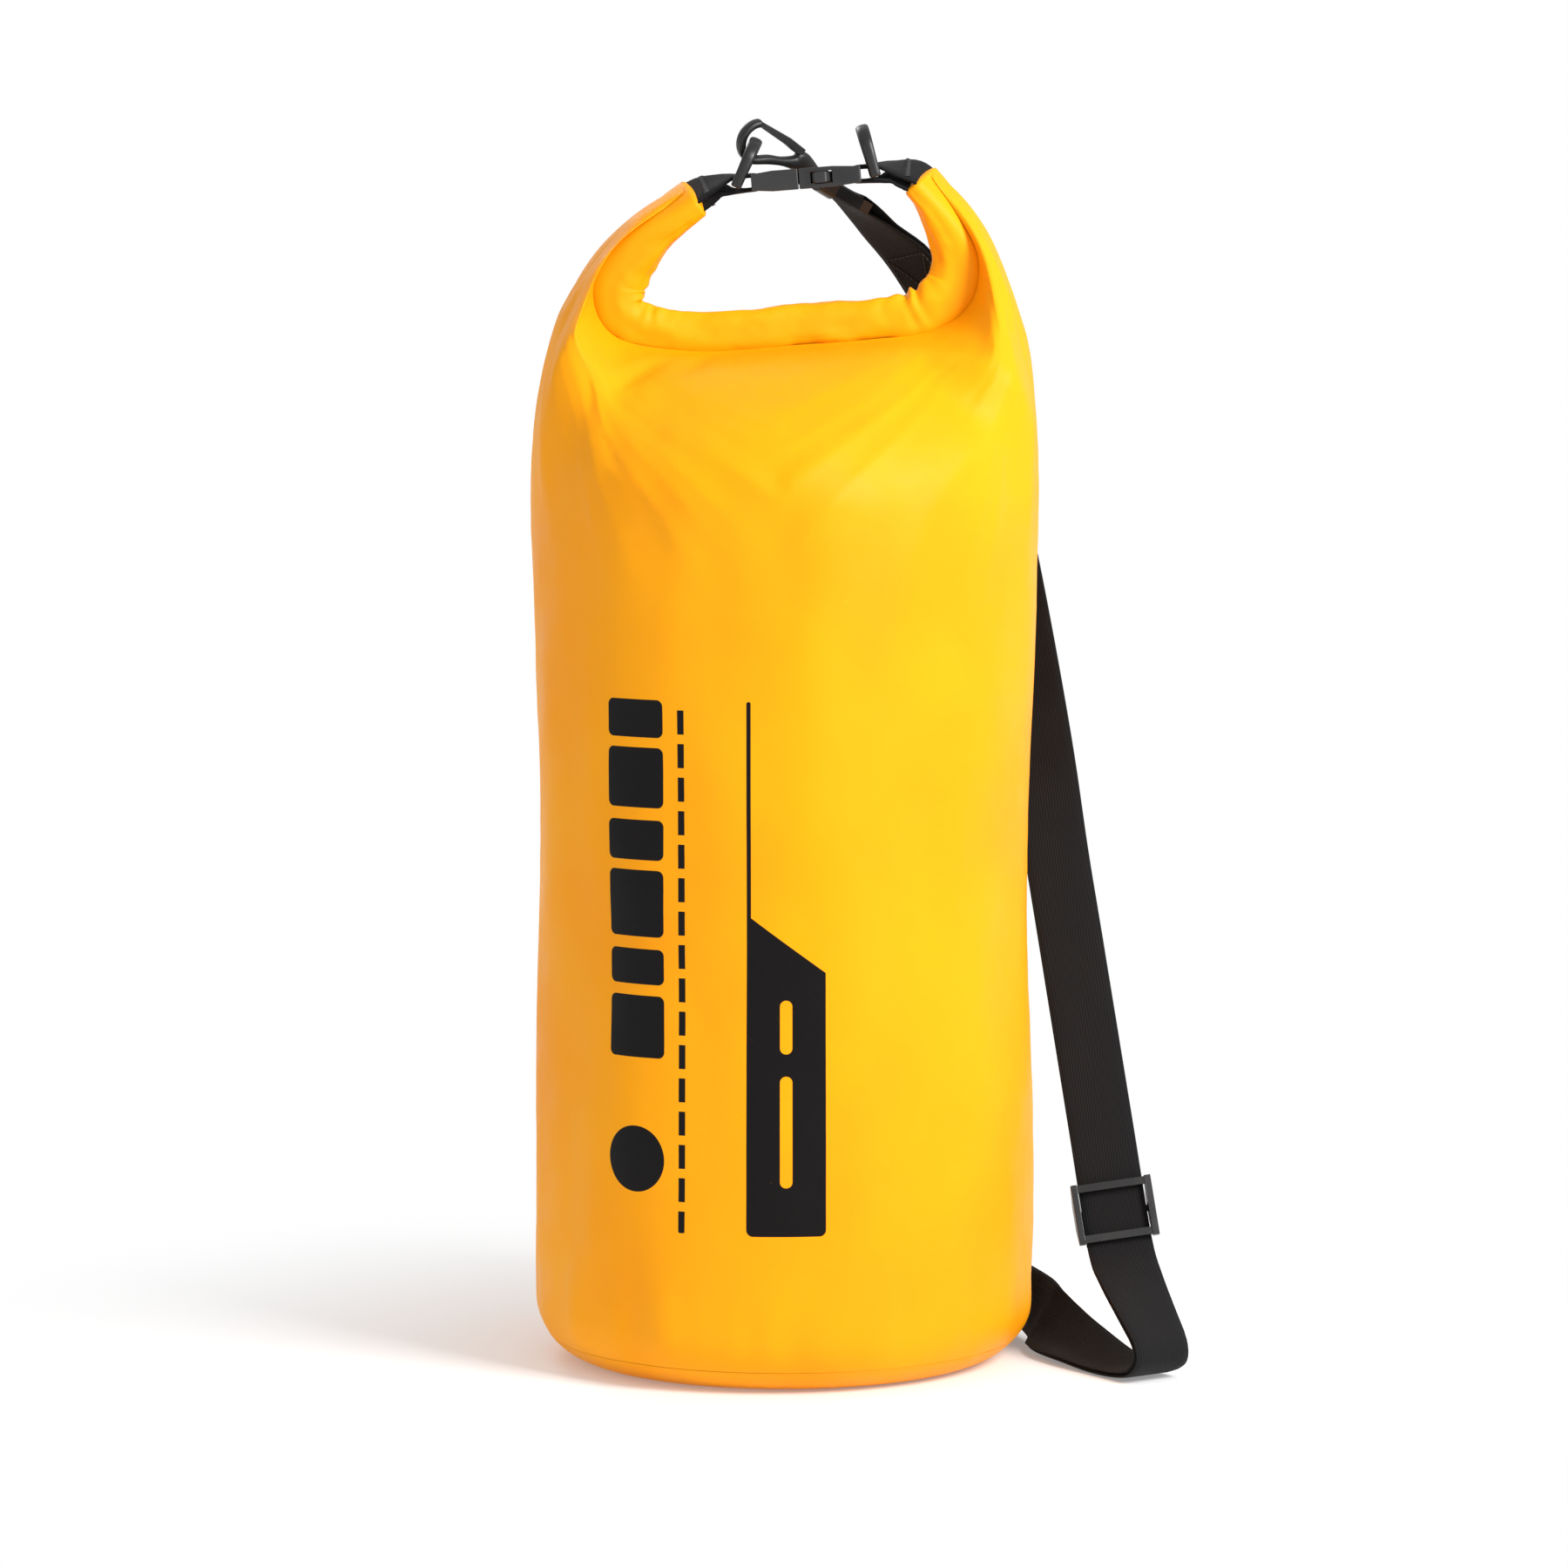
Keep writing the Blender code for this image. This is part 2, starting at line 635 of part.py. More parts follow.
HOOK_UP = (HOOK_EYE - HOOK_BAR).normalized()
HOOK_THROUGH = (Vector((0, 1, 0)) - HOOK_UP * HOOK_UP.y).normalized()
HOOK_SIDE = HOOK_THROUGH.cross(HOOK_UP)
if HOOK_SIDE.z < 0:
    HOOK_SIDE = -HOOK_SIDE
HOOK_NORMAL = HOOK_UP.cross(HOOK_SIDE)
HOOK_FRAME = axes_matrix(HOOK_BAR, HOOK_UP, HOOK_SIDE, HOOK_NORMAL)
EYE_AT = (HOOK_EYE - HOOK_BAR).length


def make_hook_body():
    """Shank, lower limb and curled nose, flat in the hook's plane."""
    eye = (EYE_AT, 0.0)
    nose_cut = 62
    outer = [(NECK, -0.0030), (0.0260, -0.0032), (0.0355, -0.0030), (0.0430, -0.0040)]
    outer += [(EYE_AT - 0.0072, -0.0078)] + arc(eye, EYE_OUTER, -100, nose_cut, 14)
    inner = arc(eye, EYE_INNER, nose_cut, -95, 12)
    inner += [(EYE_AT - 0.0072, -0.0034), (0.0440, -0.0004), (0.0392, 0.0014), (0.0378, 0.0038)]
    back = [(0.0345, 0.0042), (0.0345, 0.0078), (0.0280, 0.0056), (NECK, 0.0032)]
    mesh = outline_mesh("hook_body", [outer + inner + back], HOOK_HALF_THICK)
    hook = add_object("hook_body", mesh, "black_plastic")
    hook.matrix_world = HOOK_FRAME
    bevel(hook, 0.0008)
    stud = rod_mesh("hook_stud", 0.0021, 0.0100, along="X", segments=20)
    stud.transform(Matrix.Translation((NECK - 0.0045, 0, 0)))
    boolean(hook, cutter("hook_stud", stud, HOOK_FRAME), "UNION")
    head = rod_mesh("hook_head", 0.0034, 0.0016, along="X", segments=20)
    head.transform(Matrix.Translation((NECK - 0.0087, 0, 0)))
    boolean(hook, cutter("hook_head", head, HOOK_FRAME), "UNION")
    smooth(hook, 35)


def make_hook_gate():
    """The sprung tongue that closes the hook; it opens inwards, towards the eye."""
    hinge_a, hinge_b = GATE_HINGE
    nose = radians(62)
    tip = (EYE_AT + EYE_OUTER * cos(nose), EYE_OUTER * sin(nose))
    low = (EYE_AT + EYE_INNER * cos(nose), EYE_INNER * sin(nose))
    points = [
        (0.0352, 0.0046), (0.0400, 0.0046), (0.0460, 0.0054), (low[0] - 0.0015, low[1] - 0.0002),
        (tip[0] - 0.0015, tip[1] - 0.0006), (0.0460, 0.0092), (0.0352, 0.0082),
    ]
    local = [(a - hinge_a, b - hinge_b) for a, b in points]
    gate = add_object("hook_gate", outline_mesh("hook_gate", [local], 0.0020), "black_plastic")
    gate.matrix_world = HOOK_FRAME @ Matrix.Translation((hinge_a, hinge_b, 0))
    bevel(gate, 0.0005, segments=1)
    smooth(gate, 35)


def make_hook_swivel():
    """Webbing loop of the hook: a bar in a frame, with the barrel that holds the shank."""
    half = STRAP_HALF_WIDTH + 0.0010
    rail = 0.0026
    outline = [
        (-0.0016, -half - rail), (-0.0016, half + rail), (0.0040, half + rail), (0.0105, 0.0062),
        (NECK - 0.0006, 0.0050), (NECK - 0.0006, -0.0050), (0.0105, -0.0062), (0.0040, -half - rail),
    ]
    window = [(0.0016, -half), (0.0040, -half), (0.0080, -0.0062), (0.0080, 0.0062), (0.0040, half),
              (0.0016, half)]
    mesh = outline_mesh("hook_swivel", [outline, window], 0.0027)
    # The loop lies across the hook's plane
    swivel = add_object("hook_swivel", mesh, "black_plastic")
    frame = axes_matrix(HOOK_BAR, HOOK_UP, HOOK_NORMAL, HOOK_UP.cross(HOOK_NORMAL))
    swivel.matrix_world = frame
    for way in (-1, 1):
        relief = box_mesh("bar_relief", (0.0100, 2 * half, 0.0030), (-0.0030, 0, way * 0.0030))
        boolean(swivel, cutter("bar_relief", relief, frame))
    barrel = rod_mesh("swivel_barrel", 0.0056, 0.0096, along="X", segments=24)
    barrel.transform(Matrix.Translation((NECK - 0.0006 - 0.0048, 0, 0)))
    boolean(swivel, cutter("swivel_barrel", barrel, frame), "UNION")
    well = rod_mesh("swivel_well", 0.0038, 0.0026, along="X", segments=24)
    well.transform(Matrix.Translation((NECK - 0.0087, 0, 0)))
    boolean(swivel, cutter("swivel_well", well, frame))
    bore = rod_mesh("swivel_bore", 0.0025, 0.0120, along="X", segments=24)
    bore.transform(Matrix.Translation((NECK - 0.0030, 0, 0)))
    boolean(swivel, cutter("swivel_bore", bore, frame))
    bevel(swivel, 0.0004, segments=1)
    smooth(swivel, 35)


# ---------------------------------------------------------------- shoulder strap

# Route of the strap: centre of the webbing and the direction of its width
ROUTE = [
    ((0.0440, 0.0480, 0.5215), (-0.33, 0.88, 0.10)),
    ((0.0600, 0.0580, 0.5060), (-0.42, 0.86, -0.10)),
    ((0.0760, 0.0690, 0.4800), (-0.50, 0.82, -0.22)),
    ((0.0900, 0.0790, 0.4480), (-0.58, 0.78, -0.18)),
    ((0.0990, 0.0810, 0.4150), (-0.64, 0.75, -0.06)),
    ((0.1060, 0.0750, 0.3740), (-0.76, 0.64, 0.00)),
    ((0.1135, 0.0625, 0.3260), (-0.87, 0.46, 0.00)),
    ((0.1205, 0.0480, 0.2800), (-0.94, 0.28, -0.06)),
]
FOLD = [
    ((0.1590, -0.0405, 0.0425), (-0.95, -0.25, -0.06)),
    ((0.1655, -0.0570, 0.0290), (-0.88, -0.45, 0.00)),
    ((0.1705, -0.0700, 0.0185), (-0.81, -0.58, 0.00)),
    ((0.1712, -0.0742, 0.0100), (-0.81, -0.58, 0.00)),
    ((0.1670, -0.0700, 0.0038), (-0.81, -0.58, 0.00)),
    ((0.1600, -0.0600, 0.0017), (-0.81, -0.58, 0.00)),
    ((0.1500, -0.0460, 0.0030), (-0.80, -0.57, -0.10)),
    ((0.1385, -0.0295, 0.0070), (-0.77, -0.56, -0.30)),
    ((0.1290, -0.0130, 0.0105), (-0.68, -0.50, -0.54)),
    ((0.1230, 0.0040, 0.0140), (-0.50, -0.36, -0.78)),
    ((0.1212, 0.0200, 0.0165), (-0.28, -0.16, -0.94)),
]
STRAIGHT_WAY = (STRAIGHT_FOOT - STRAIGHT_TOP).normalized()
STRAIGHT_ACROSS = (Vector((-1, 0, 0)) + STRAIGHT_WAY * STRAIGHT_WAY.x).normalized()
STRAIGHT_NORMAL = STRAIGHT_WAY.cross(STRAIGHT_ACROSS)
SLIDER_CENTRE = STRAIGHT_FOOT - STRAIGHT_WAY * SLIDER_FROM_FOOT


def polar(radius, azimuth, z):
    return Vector((radius * cos(azimuth), radius * sin(azimuth), z))


def strap_frames():
    """The outer ply from just below the hook's loop to just before the anchor ring's loop."""
    stops = [(Vector(c), Vector(w)) for c, w in ROUTE]
    stops += [(STRAIGHT_TOP.lerp(STRAIGHT_FOOT, t), STRAIGHT_ACROSS) for t in (0, 0.25, 0.5, 0.75, 1)]
    stops += [(Vector(c), Vector(w)) for c, w in FOLD]
    loop = ANCHOR_RING_RADIUS + STRAP_LOOP
    for azimuth, z, radius in ((24, 0.0210, 0.1208), (36, 0.0300, 0.1214), (46, 0.0370, 0.1230)):
        stops.append((polar(radius, radians(azimuth), z), Vector((0, 0, -1))))
    stops.append((polar(loop, STRAP_BAR_AZIMUTH - radians(1.2), ANCHOR_Z - 0.0005), Vector((0, 0, -1))))
    centres = catmull([c for c, _ in stops], 0.0070)
    across = catmull([w.normalized() for _, w in stops], 10.0)
    # The two curves share their stops, so the width is read at the same share between stops
    result = []
    k = 0
    for i, centre in enumerate(centres):
        while k < len(stops) - 2 and (centre - stops[k][0]).dot(stops[k + 1][0] - stops[k][0]) \
                > (stops[k + 1][0] - stops[k][0]).length_squared - 1e-12:
            k += 1
        span = stops[k + 1][0] - stops[k][0]
        t = max(0.0, min(1.0, (centre - stops[k][0]).dot(span) / span.length_squared))
        result.append((centre, across[k].lerp(across[k + 1], t)))
    ways = tangents([c for c, _ in result])
    return [(c, (w - t * w.dot(t)).normalized(), t) for (c, w), t in zip(result, ways)]


def make_shoulder_strap():
    """The webbing from its sewn end at the hook, through the slider, to the anchor ring."""
    run = strap_frames()
    frames = [(c, w) for c, w, _ in run]
    # Loop round the hook's bar: out along one side, back along the other
    bar_way = HOOK_NORMAL if HOOK_NORMAL.dot(run[0][1]) > 0 else -HOOK_NORMAL
    first, across, _ = run[0]
    leave = (first - HOOK_BAR)
    leave = (leave - bar_way * leave.dot(bar_way)).normalized()
    lift = bar_way.cross(leave)
    if lift.z < 0:
        lift = -lift
    loop = []
    for i in range(11):
        a = radians(-84 + 168 * i / 10)
        turn = -leave * cos(a) * HOOK_LOOP + lift * sin(a) * HOOK_LOOP
        loop.append((HOOK_BAR + turn, bar_way))
    loop.reverse()                      # upper side first, so that the tail lies below
    tail = []
    normal = run[0][2].cross(across)
    under = normal if normal.z < 0 else -normal
    for i, (c, w, _) in enumerate(run[:4]):
        tail.append((c + under * PLY_STEP, w))
    lower_join = (loop[-1][0].lerp(tail[0][0], 0.45), bar_way.lerp(across, 0.45))
    upper_join = (loop[0][0].lerp(first, 0.45) + lift * 0.0003, bar_way.lerp(across, 0.45))
    start = tail[::-1] + [lower_join] + loop[::-1] + [upper_join]
    # Loop round the anchor ring's bar, ending where the inner ply takes over
    bar = polar(ANCHOR_RING_RADIUS, STRAP_BAR_AZIMUTH, ANCHOR_Z)
    outward = polar(1, STRAP_BAR_AZIMUTH, 0)
    onward = Vector((-outward.y, outward.x, 0))
    end = []
    for i in range(11):
        a = radians(90 - 180 * i / 10)
        end.append((bar + (outward * sin(a) + onward * cos(a)) * STRAP_LOOP, Vector((0, 0, -1))))
    ribbon("shoulder_strap", start + frames + end, STRAP_HALF_WIDTH, STRAP_THICK, "black_webbing")
    return run, end[-1][0]


def make_strap_return(run, loop_end):
    """The inner ply, from the anchor ring back up to the slider's centre bar and its sewn tail."""
    foot = [i for i, (c, _, _) in enumerate(run) if (c - STRAIGHT_FOOT).length < 0.0001][0]
    plies = []
    for c, w, t in run[foot:-1]:
        left = (run[-1][0] - c).length
        step = mix(2 * STRAP_LOOP, PLY_STEP, smoothstep(left / 0.022))
        plies.append((c + t.cross(w) * step, w))
    backward = polar(1, STRAP_BAR_AZIMUTH - pi / 2, 0)
    plies.append((loop_end + backward * 0.0006, Vector((0, 0, -1))))
    up = -STRAIGHT_WAY
    bar = SLIDER_CENTRE + STRAIGHT_NORMAL * SLIDER_BAR_DEPTH
    radius = SLIDER_LOOP
    loop = []
    for i in range(9):
        a = radians(180 * i / 8)
        turn = up * sin(a) * radius - STRAIGHT_NORMAL * cos(a) * radius
        loop.append((bar + turn, STRAIGHT_ACROSS))
    near = SLIDER_CENTRE + STRAIGHT_NORMAL * PLY_STEP - up * 0.012
    tail_offset = STRAIGHT_NORMAL * (2 * PLY_STEP)
    tail = [
        (SLIDER_CENTRE + tail_offset * 1.35 - up * 0.008, STRAIGHT_ACROSS),
        (SLIDER_CENTRE + tail_offset * 1.05 - up * 0.0145, STRAIGHT_ACROSS),
    ]
    frames = plies[::-1] + [(near, STRAIGHT_ACROSS)] + loop + tail
    ribbon("strap_return", frames, STRAP_HALF_WIDTH, STRAP_THICK, "black_webbing")


def make_slider():
    """Strap slider: two outer bars before the outer ply, a centre bar behind it, two side rails."""
    frame = axes_matrix(SLIDER_CENTRE, -STRAIGHT_ACROSS, STRAIGHT_NORMAL, -STRAIGHT_WAY)
    if frame.determinant() < 0:
        frame = axes_matrix(SLIDER_CENTRE, STRAIGHT_ACROSS, STRAIGHT_NORMAL, -STRAIGHT_WAY)
    rail_x = STRAP_HALF_WIDTH + 0.0006 + SLIDER_RAIL / 2
    side = [
        (-SLIDER_HALF_HEIGHT, -0.0040), (-SLIDER_HALF_HEIGHT + 0.0020, -0.0044),
        (SLIDER_HALF_HEIGHT - 0.0020, -0.0044), (SLIDER_HALF_HEIGHT, -0.0040),
        (SLIDER_HALF_HEIGHT, -0.0008), (0.0060, 0.0066), (-0.0060, 0.0066), (-SLIDER_HALF_HEIGHT, -0.0008),
    ]
    mesh = outline_mesh("strap_slider", [side], SLIDER_RAIL / 2)
    # Outline X becomes the strap's direction, outline Y its depth, thickness its width
    mesh.transform(Matrix(((0, 0, 1, 0), (0, 1, 0, 0), (1, 0, 0, 0), (0, 0, 0, 1))))
    mesh.transform(Matrix.Translation((-rail_x, 0, 0)))
    fix_winding(mesh)
    slider = add_object("strap_slider", mesh, "black_plastic")
    slider.matrix_world = frame
    bevel(slider, 0.0007)
    other = mesh.copy()
    other.transform(Matrix.Translation((2 * rail_x, 0, 0)))
    boolean(slider, cutter("slider_rail", other, frame), "UNION")
    width = 2 * rail_x
    for name, z in (("slider_bar_low", -0.0118), ("slider_bar_top", 0.0118)):
        bar = box_mesh(name, (width, 0.0026, 0.0034), (0, -0.0027, z))
        boolean(slider, cutter(name, bar, frame), "UNION")
    middle = rod_mesh("slider_bar_middle", 0.0016, width, (0, SLIDER_BAR_DEPTH, 0), along="X")
    boolean(slider, cutter("slider_bar_middle", middle, frame), "UNION")
    smooth(slider, 35)


def fix_winding(mesh):
    bm = bmesh.new()
    bm.from_mesh(mesh)
    bmesh.ops.recalc_face_normals(bm, faces=bm.faces)
    bm.to_mesh(mesh)
    bm.free()


# ---------------------------------------------------------------- lower anchor

def make_anchor_patch():
    """Square of bag fabric welded on the back, under the anchor's webbing."""
    start, end = PATCH_AZIMUTH
    radius = BAG_RADIUS + FIT_GAP + 0.0005
    heights = [ANCHOR_Z - 0.0190 + 0.0400 * i / 4 for i in range(5)]

    bm = bmesh.new()
    rows = []
    for z in heights:
        turns = [mix(start, end, i / 8) for i in range(9)]
        rows.append([bm.verts.new(polar(radius, a, z)) for a in turns])
    for a, b in zip(rows, rows[1:]):
        for i in range(8):
            bm.faces.new((a[i], a[i + 1], b[i + 1], b[i]))
    mesh = bpy.data.meshes.new("anchor_patch")
    bm.to_mesh(mesh)
    bm.free()
    patch = add_object("anchor_patch", mesh, "yellow_fabric")
    solidify(patch, 0.0008)


def make_anchor_loop():
    """Webbing sewn on the patch and looped round the anchor ring's bar."""
    z = ANCHOR_Z
    inner = BAG_RADIUS + FIT_GAP + 0.0009 + 0.0003 + STRAP_THICK / 2
    spread = ANCHOR_RING_RADIUS - inner
    end = PATCH_AZIMUTH[1] - radians(3)
    bar = polar(ANCHOR_RING_RADIUS, TAB_BAR_AZIMUTH, z)
    outward = polar(1, TAB_BAR_AZIMUTH, 0)
    onward = Vector((-outward.y, outward.x, 0))
    up = Vector((0, 0, 1))
    lower = [(polar(inner, mix(end, TAB_BAR_AZIMUTH + radians(1.5), i / 8), z), up) for i in range(9)]
    loop = []
    for i in range(11):
        a = radians(-90 + 180 * i / 10)
        loop.append((bar + (outward * sin(a) - onward * cos(a)) * spread, up))
    upper = []
    for i in range(1, 10):
        azimuth = mix(TAB_BAR_AZIMUTH, end, i / 9)
        down = smoothstep((azimuth - TAB_BAR_AZIMUTH) / radians(7))
        upper.append((polar(mix(inner + 2 * spread, inner + PLY_STEP, down), azimuth, z), up))
    ribbon("anchor_loop", lower + loop + upper, STRAP_HALF_WIDTH, STRAP_THICK, "black_webbing")


def make_anchor_ring():
    """Rectangular wire ring between the sewn loop and the strap."""
    a = polar(ANCHOR_RING_RADIUS, TAB_BAR_AZIMUTH, 0)
    b = polar(ANCHOR_RING_RADIUS, STRAP_BAR_AZIMUTH, 0)
    reach = (b - a).length
    along = (b - a).normalized()
    up = Vector((0, 0, 1))
    origin = a + up * ANCHOR_Z
    half = STRAP_HALF_WIDTH + 0.0006 + ANCHOR_WIRE
    corner = 0.0030
    corners = [(corner, -half + corner, 180, 270), (reach - corner, -half + corner, 270, 360),
               (reach - corner, half - corner, 0, 90), (corner, half - corner, 90, 180)]
    points = []
    for x, y, start, end in corners:
        points += arc((x, y), corner, start, end, 4)
    curve = bpy.data.curves.new("anchor_ring", "CURVE")
    curve.dimensions = "3D"
    curve.bevel_depth = ANCHOR_WIRE
    curve.bevel_resolution = 3
    spline = curve.splines.new("POLY")
    spline.points.add(len(points) - 1)
    spline.use_cyclic_u = True
    for point, (x, y) in zip(spline.points, points):
        point.co = (x, y, 0.0, 1.0)
    ring = add_object("anchor_ring", mesh_of_curve("anchor_ring", curve), "black_plastic")
    ring.matrix_world = axes_matrix(origin, along, up, along.cross(up))
    smooth(ring, 60)


make_body_shell()
make_base_panel()
make_seam_tape()
make_rolled_top()
make_stiffener()
make_tab("closure_tab_left", -1)
make_tab("closure_tab_right", 1)
make_socket()
make_plug()
make_arm("buckle_arm_front", -1)
make_arm("buckle_arm_back", 1)
make_d_ring("d_ring_left", -1, LEFT_RING_LEAN)
make_d_ring("d_ring_right", 1, RIGHT_RING_LEAN)
make_hook_body()
make_hook_gate()
make_hook_swivel()
OUTER_PLY, LOOP_END = make_shoulder_strap()
make_strap_return(OUTER_PLY, LOOP_END)
make_slider()
make_anchor_patch()
make_anchor_loop()
make_anchor_ring()
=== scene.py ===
"""Dry bag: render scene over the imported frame.

The fabric tube is draped by a cloth simulation from a straight cut. The rolled mouth, the
base, the webbing, the patch, the D-rings and the hook body are fine meshes that stand for
CAD nodes. The other moulded parts are the frame's own nodes with better materials.
"""

from math import cos, exp, pi, radians, sin

import bpy
import numpy as np
from mathutils import Matrix, Vector, noise


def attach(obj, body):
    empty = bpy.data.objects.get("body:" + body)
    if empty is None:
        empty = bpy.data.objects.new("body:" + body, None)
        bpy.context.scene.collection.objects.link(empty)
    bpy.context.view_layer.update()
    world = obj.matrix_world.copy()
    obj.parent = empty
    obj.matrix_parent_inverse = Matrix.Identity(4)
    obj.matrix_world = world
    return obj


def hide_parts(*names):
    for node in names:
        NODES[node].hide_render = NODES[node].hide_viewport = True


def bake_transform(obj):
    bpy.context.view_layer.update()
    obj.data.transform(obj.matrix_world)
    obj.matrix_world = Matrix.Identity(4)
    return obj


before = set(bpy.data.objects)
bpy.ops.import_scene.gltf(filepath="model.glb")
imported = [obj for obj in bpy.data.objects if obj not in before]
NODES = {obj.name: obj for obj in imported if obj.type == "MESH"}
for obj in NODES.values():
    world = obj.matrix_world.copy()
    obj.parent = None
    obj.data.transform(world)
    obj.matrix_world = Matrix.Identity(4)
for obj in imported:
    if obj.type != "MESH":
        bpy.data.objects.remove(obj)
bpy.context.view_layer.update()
SCENE = bpy.context.scene

SECTION_SIDES = 24  # round the section of a webbing or a rod

# The bag, as in the CAD model
BAG_RADIUS = 0.115
BASE_ROUND = 0.028
SEAM_ANGLE = radians(-62)
WAIST = 0.0022
SHOULDER_Z = 0.395
CUT_HEIGHT = 0.528  # of the tube's cut, from the base weld to the roll
TAB_HALF = 0.0125
TAB_HALF_THICK = 0.0011
TAB_SPREAD = 0.0033  # from the handle's line to each ply where they hold the bars
TAB_PLY_HALF_STEP = 0.0024  # the same where they are sewn together
TACK_FRAME = 8  # the frame of the tab's spine that its bar tacks cross
BAR_CENTRE = 0.023  # of the webbing's bars, from the handle's middle
RING_BAR = 0.0315  # the same for the D-rings' bars
WEBBING_HALF = 0.00075
END_TWIST = radians(26)
ROLL_LINE = [
    (-0.0395, 0.5358), (-0.0490, 0.5290), (-0.0600, 0.5190), (-0.0710, 0.5060),
    (-0.0775, 0.4920), (-0.0710, 0.4780), (-0.0400, 0.4725), (0.0000, 0.4750),
    (0.0350, 0.4775), (0.0600, 0.4810), (0.0755, 0.4900), (0.0800, 0.5040),
    (0.0765, 0.5190), (0.0705, 0.5325), (0.0612, 0.5440),
]
ROLL_HALVES = ((0.0098, 0.0066), (0.0128, 0.0088), (0.0066, 0.0138))
HANDLE_CENTRE = Vector((0.01, 0.0, 0.5435))
HANDLE_TILT = radians(4.5)
BACK = Vector((0, 1, 0))  # away from the viewer
UP = Vector((0, 0, 1))
HANDLE = Matrix.Translation(HANDLE_CENTRE) @ Matrix.Rotation(-HANDLE_TILT, 4, "Y")


# ---- geometry helpers

def ease(t):
    """Rises from 0 to 1 with level ends."""
    t = min(1.0, max(0.0, t))
    return t * t * (3 - 2 * t)


def mix(a, b, t):
    return a + (b - a) * t


def bump(x, centre, width):
    """A soft hill of height 1."""
    return exp(-((x - centre) / width) ** 2)


def catmull(points, pieces):
    """A smooth curve through the points, with the same number of samples between each two."""
    ends = [2 * points[0] - points[1]] + list(points) + [2 * points[-1] - points[-2]]
    samples = []
    for p0, p1, p2, p3 in zip(ends, ends[1:], ends[2:], ends[3:]):
        for i in range(pieces):
            t = i / pieces
            samples.append(0.5 * (
                2 * p1 + (p2 - p0) * t
                + (2 * p0 - 5 * p1 + 4 * p2 - p3) * t * t
                + (3 * p1 - 3 * p2 + p3 - p0) * t * t * t
            ))
    samples.append(points[-1].copy())
    return samples


def tangents(points):
    last = len(points) - 1
    steps = [points[min(i + 1, last)] - points[max(i - 1, 0)] for i in range(last + 1)]
    return [step.normalized() for step in steps]


def lengths_along(points):
    total = [0.0]
    for a, b in zip(points, points[1:]):
        total.append(total[-1] + (b - a).length)
    return total


def at_length(along, target):
    """The stretch of a polyline where its length reaches target, and how far into it."""
    k = 0
    while k < len(along) - 2 and along[k + 1] < target:
        k += 1
    return k, min(1.0, (target - along[k]) / (along[k + 1] - along[k]))


def arc(start, stop, steps=8):
    """Even angles from start to stop, given in degrees and returned in radians."""
    return [radians(mix(start, stop, i / steps)) for i in range(steps + 1)]


def polar(radius, azimuth, z):
    return Vector((radius * cos(azimuth), radius * sin(azimuth), z))


def towards(vector, direction):
    """The vector or its opposite, whichever looks in the direction."""
    return vector if vector.dot(direction) > 0 else -vector


def upright_axes(azimuth):
    """Directions away from the bag's axis and on round it."""
    return polar(1, azimuth, 0), polar(1, azimuth + pi / 2, 0)


def add_object(name, data):
    obj = bpy.data.objects.new(name, data)
    SCENE.collection.objects.link(obj)
    return obj


def piece(mesh, material, body="bag", node=None):
    """A visible piece, named as its mesh, that rides on a body and stands for a CAD node."""
    obj = add_object(mesh.name, mesh)
    mesh.materials.append(material)
    mesh.shade_smooth()
    if body:
        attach(obj, body)
    if node:
        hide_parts(node)
    return obj


def grid(name, points, flat, closed=True, caps=False):
    """A mesh over rows of points; flat holds each one's place (u, v) in metres on the cloth.

    A closed row of flat has one place more than the row has points, for its last face.
    """
    rows, columns = points.shape[:2]
    verts = points.reshape(-1, 3)
    faces = []
    places = []
    wrap = columns if closed else columns - 1
    for i in range(rows - 1):
        low, high = i * columns, (i + 1) * columns
        for j in range(wrap):
            k = (j + 1) % columns
            faces.append((low + j, low + k, high + k, high + j))
            places += [flat[i][j], flat[i][j + 1], flat[i + 1][j + 1], flat[i + 1][j]]
    if caps:
        for row, order in ((0, range(columns)[::-1]), (rows - 1, range(columns))):
            faces.append(tuple(row * columns + j for j in order))
            places += [flat[row][j] for j in order]
    mesh = bpy.data.meshes.new(name)
    mesh.from_pydata([tuple(map(float, v)) for v in verts], [], faces)
    layer = mesh.uv_layers.new(name="flat")
    layer.data.foreach_set("uv", np.array(places, dtype=np.float32).ravel())
    return mesh


def noise_at(x, y, z):
    return noise.noise(Vector((x, y, z)))


def superellipse(c, s, power):
    """How far the edge of a superellipse of half size 1 lies in the direction (c, s)."""
    return (abs(c) ** power + abs(s) ** power) ** (-1 / power)


def strip_mesh(name, frames, half_width, half_thick):
    """Webbing with rounded selvedges through frames of (centre, width direction)."""
    centres = [c for c, _ in frames]
    ways = tangents(centres)
    along = lengths_along(centres)
    section = []
    for a in np.linspace(0, 2 * pi, SECTION_SIDES, endpoint=False):
        c, s = cos(a + pi / SECTION_SIDES), sin(a + pi / SECTION_SIDES)
        reach = superellipse(c, s, 9)
        x = half_width * c * reach
        edge = ease((abs(x) - half_width * 0.93) / (half_width * 0.07))
        section.append((x, half_thick * s * reach * (1 - 0.45 * edge)))
    points = np.zeros((len(frames), SECTION_SIDES, 3))
    flat = []
    for i, ((centre, across), way) in enumerate(zip(frames, ways)):
        side = (across - way * across.dot(way)).normalized()
        normal = way.cross(side)
        for j, (x, y) in enumerate(section):
            points[i, j] = centre + side * x + normal * y
        row = [(x, along[i]) for x, _ in section]
        flat.append(row + [row[0]])
    return grid(name, points, flat, caps=True)


# ---- material helpers

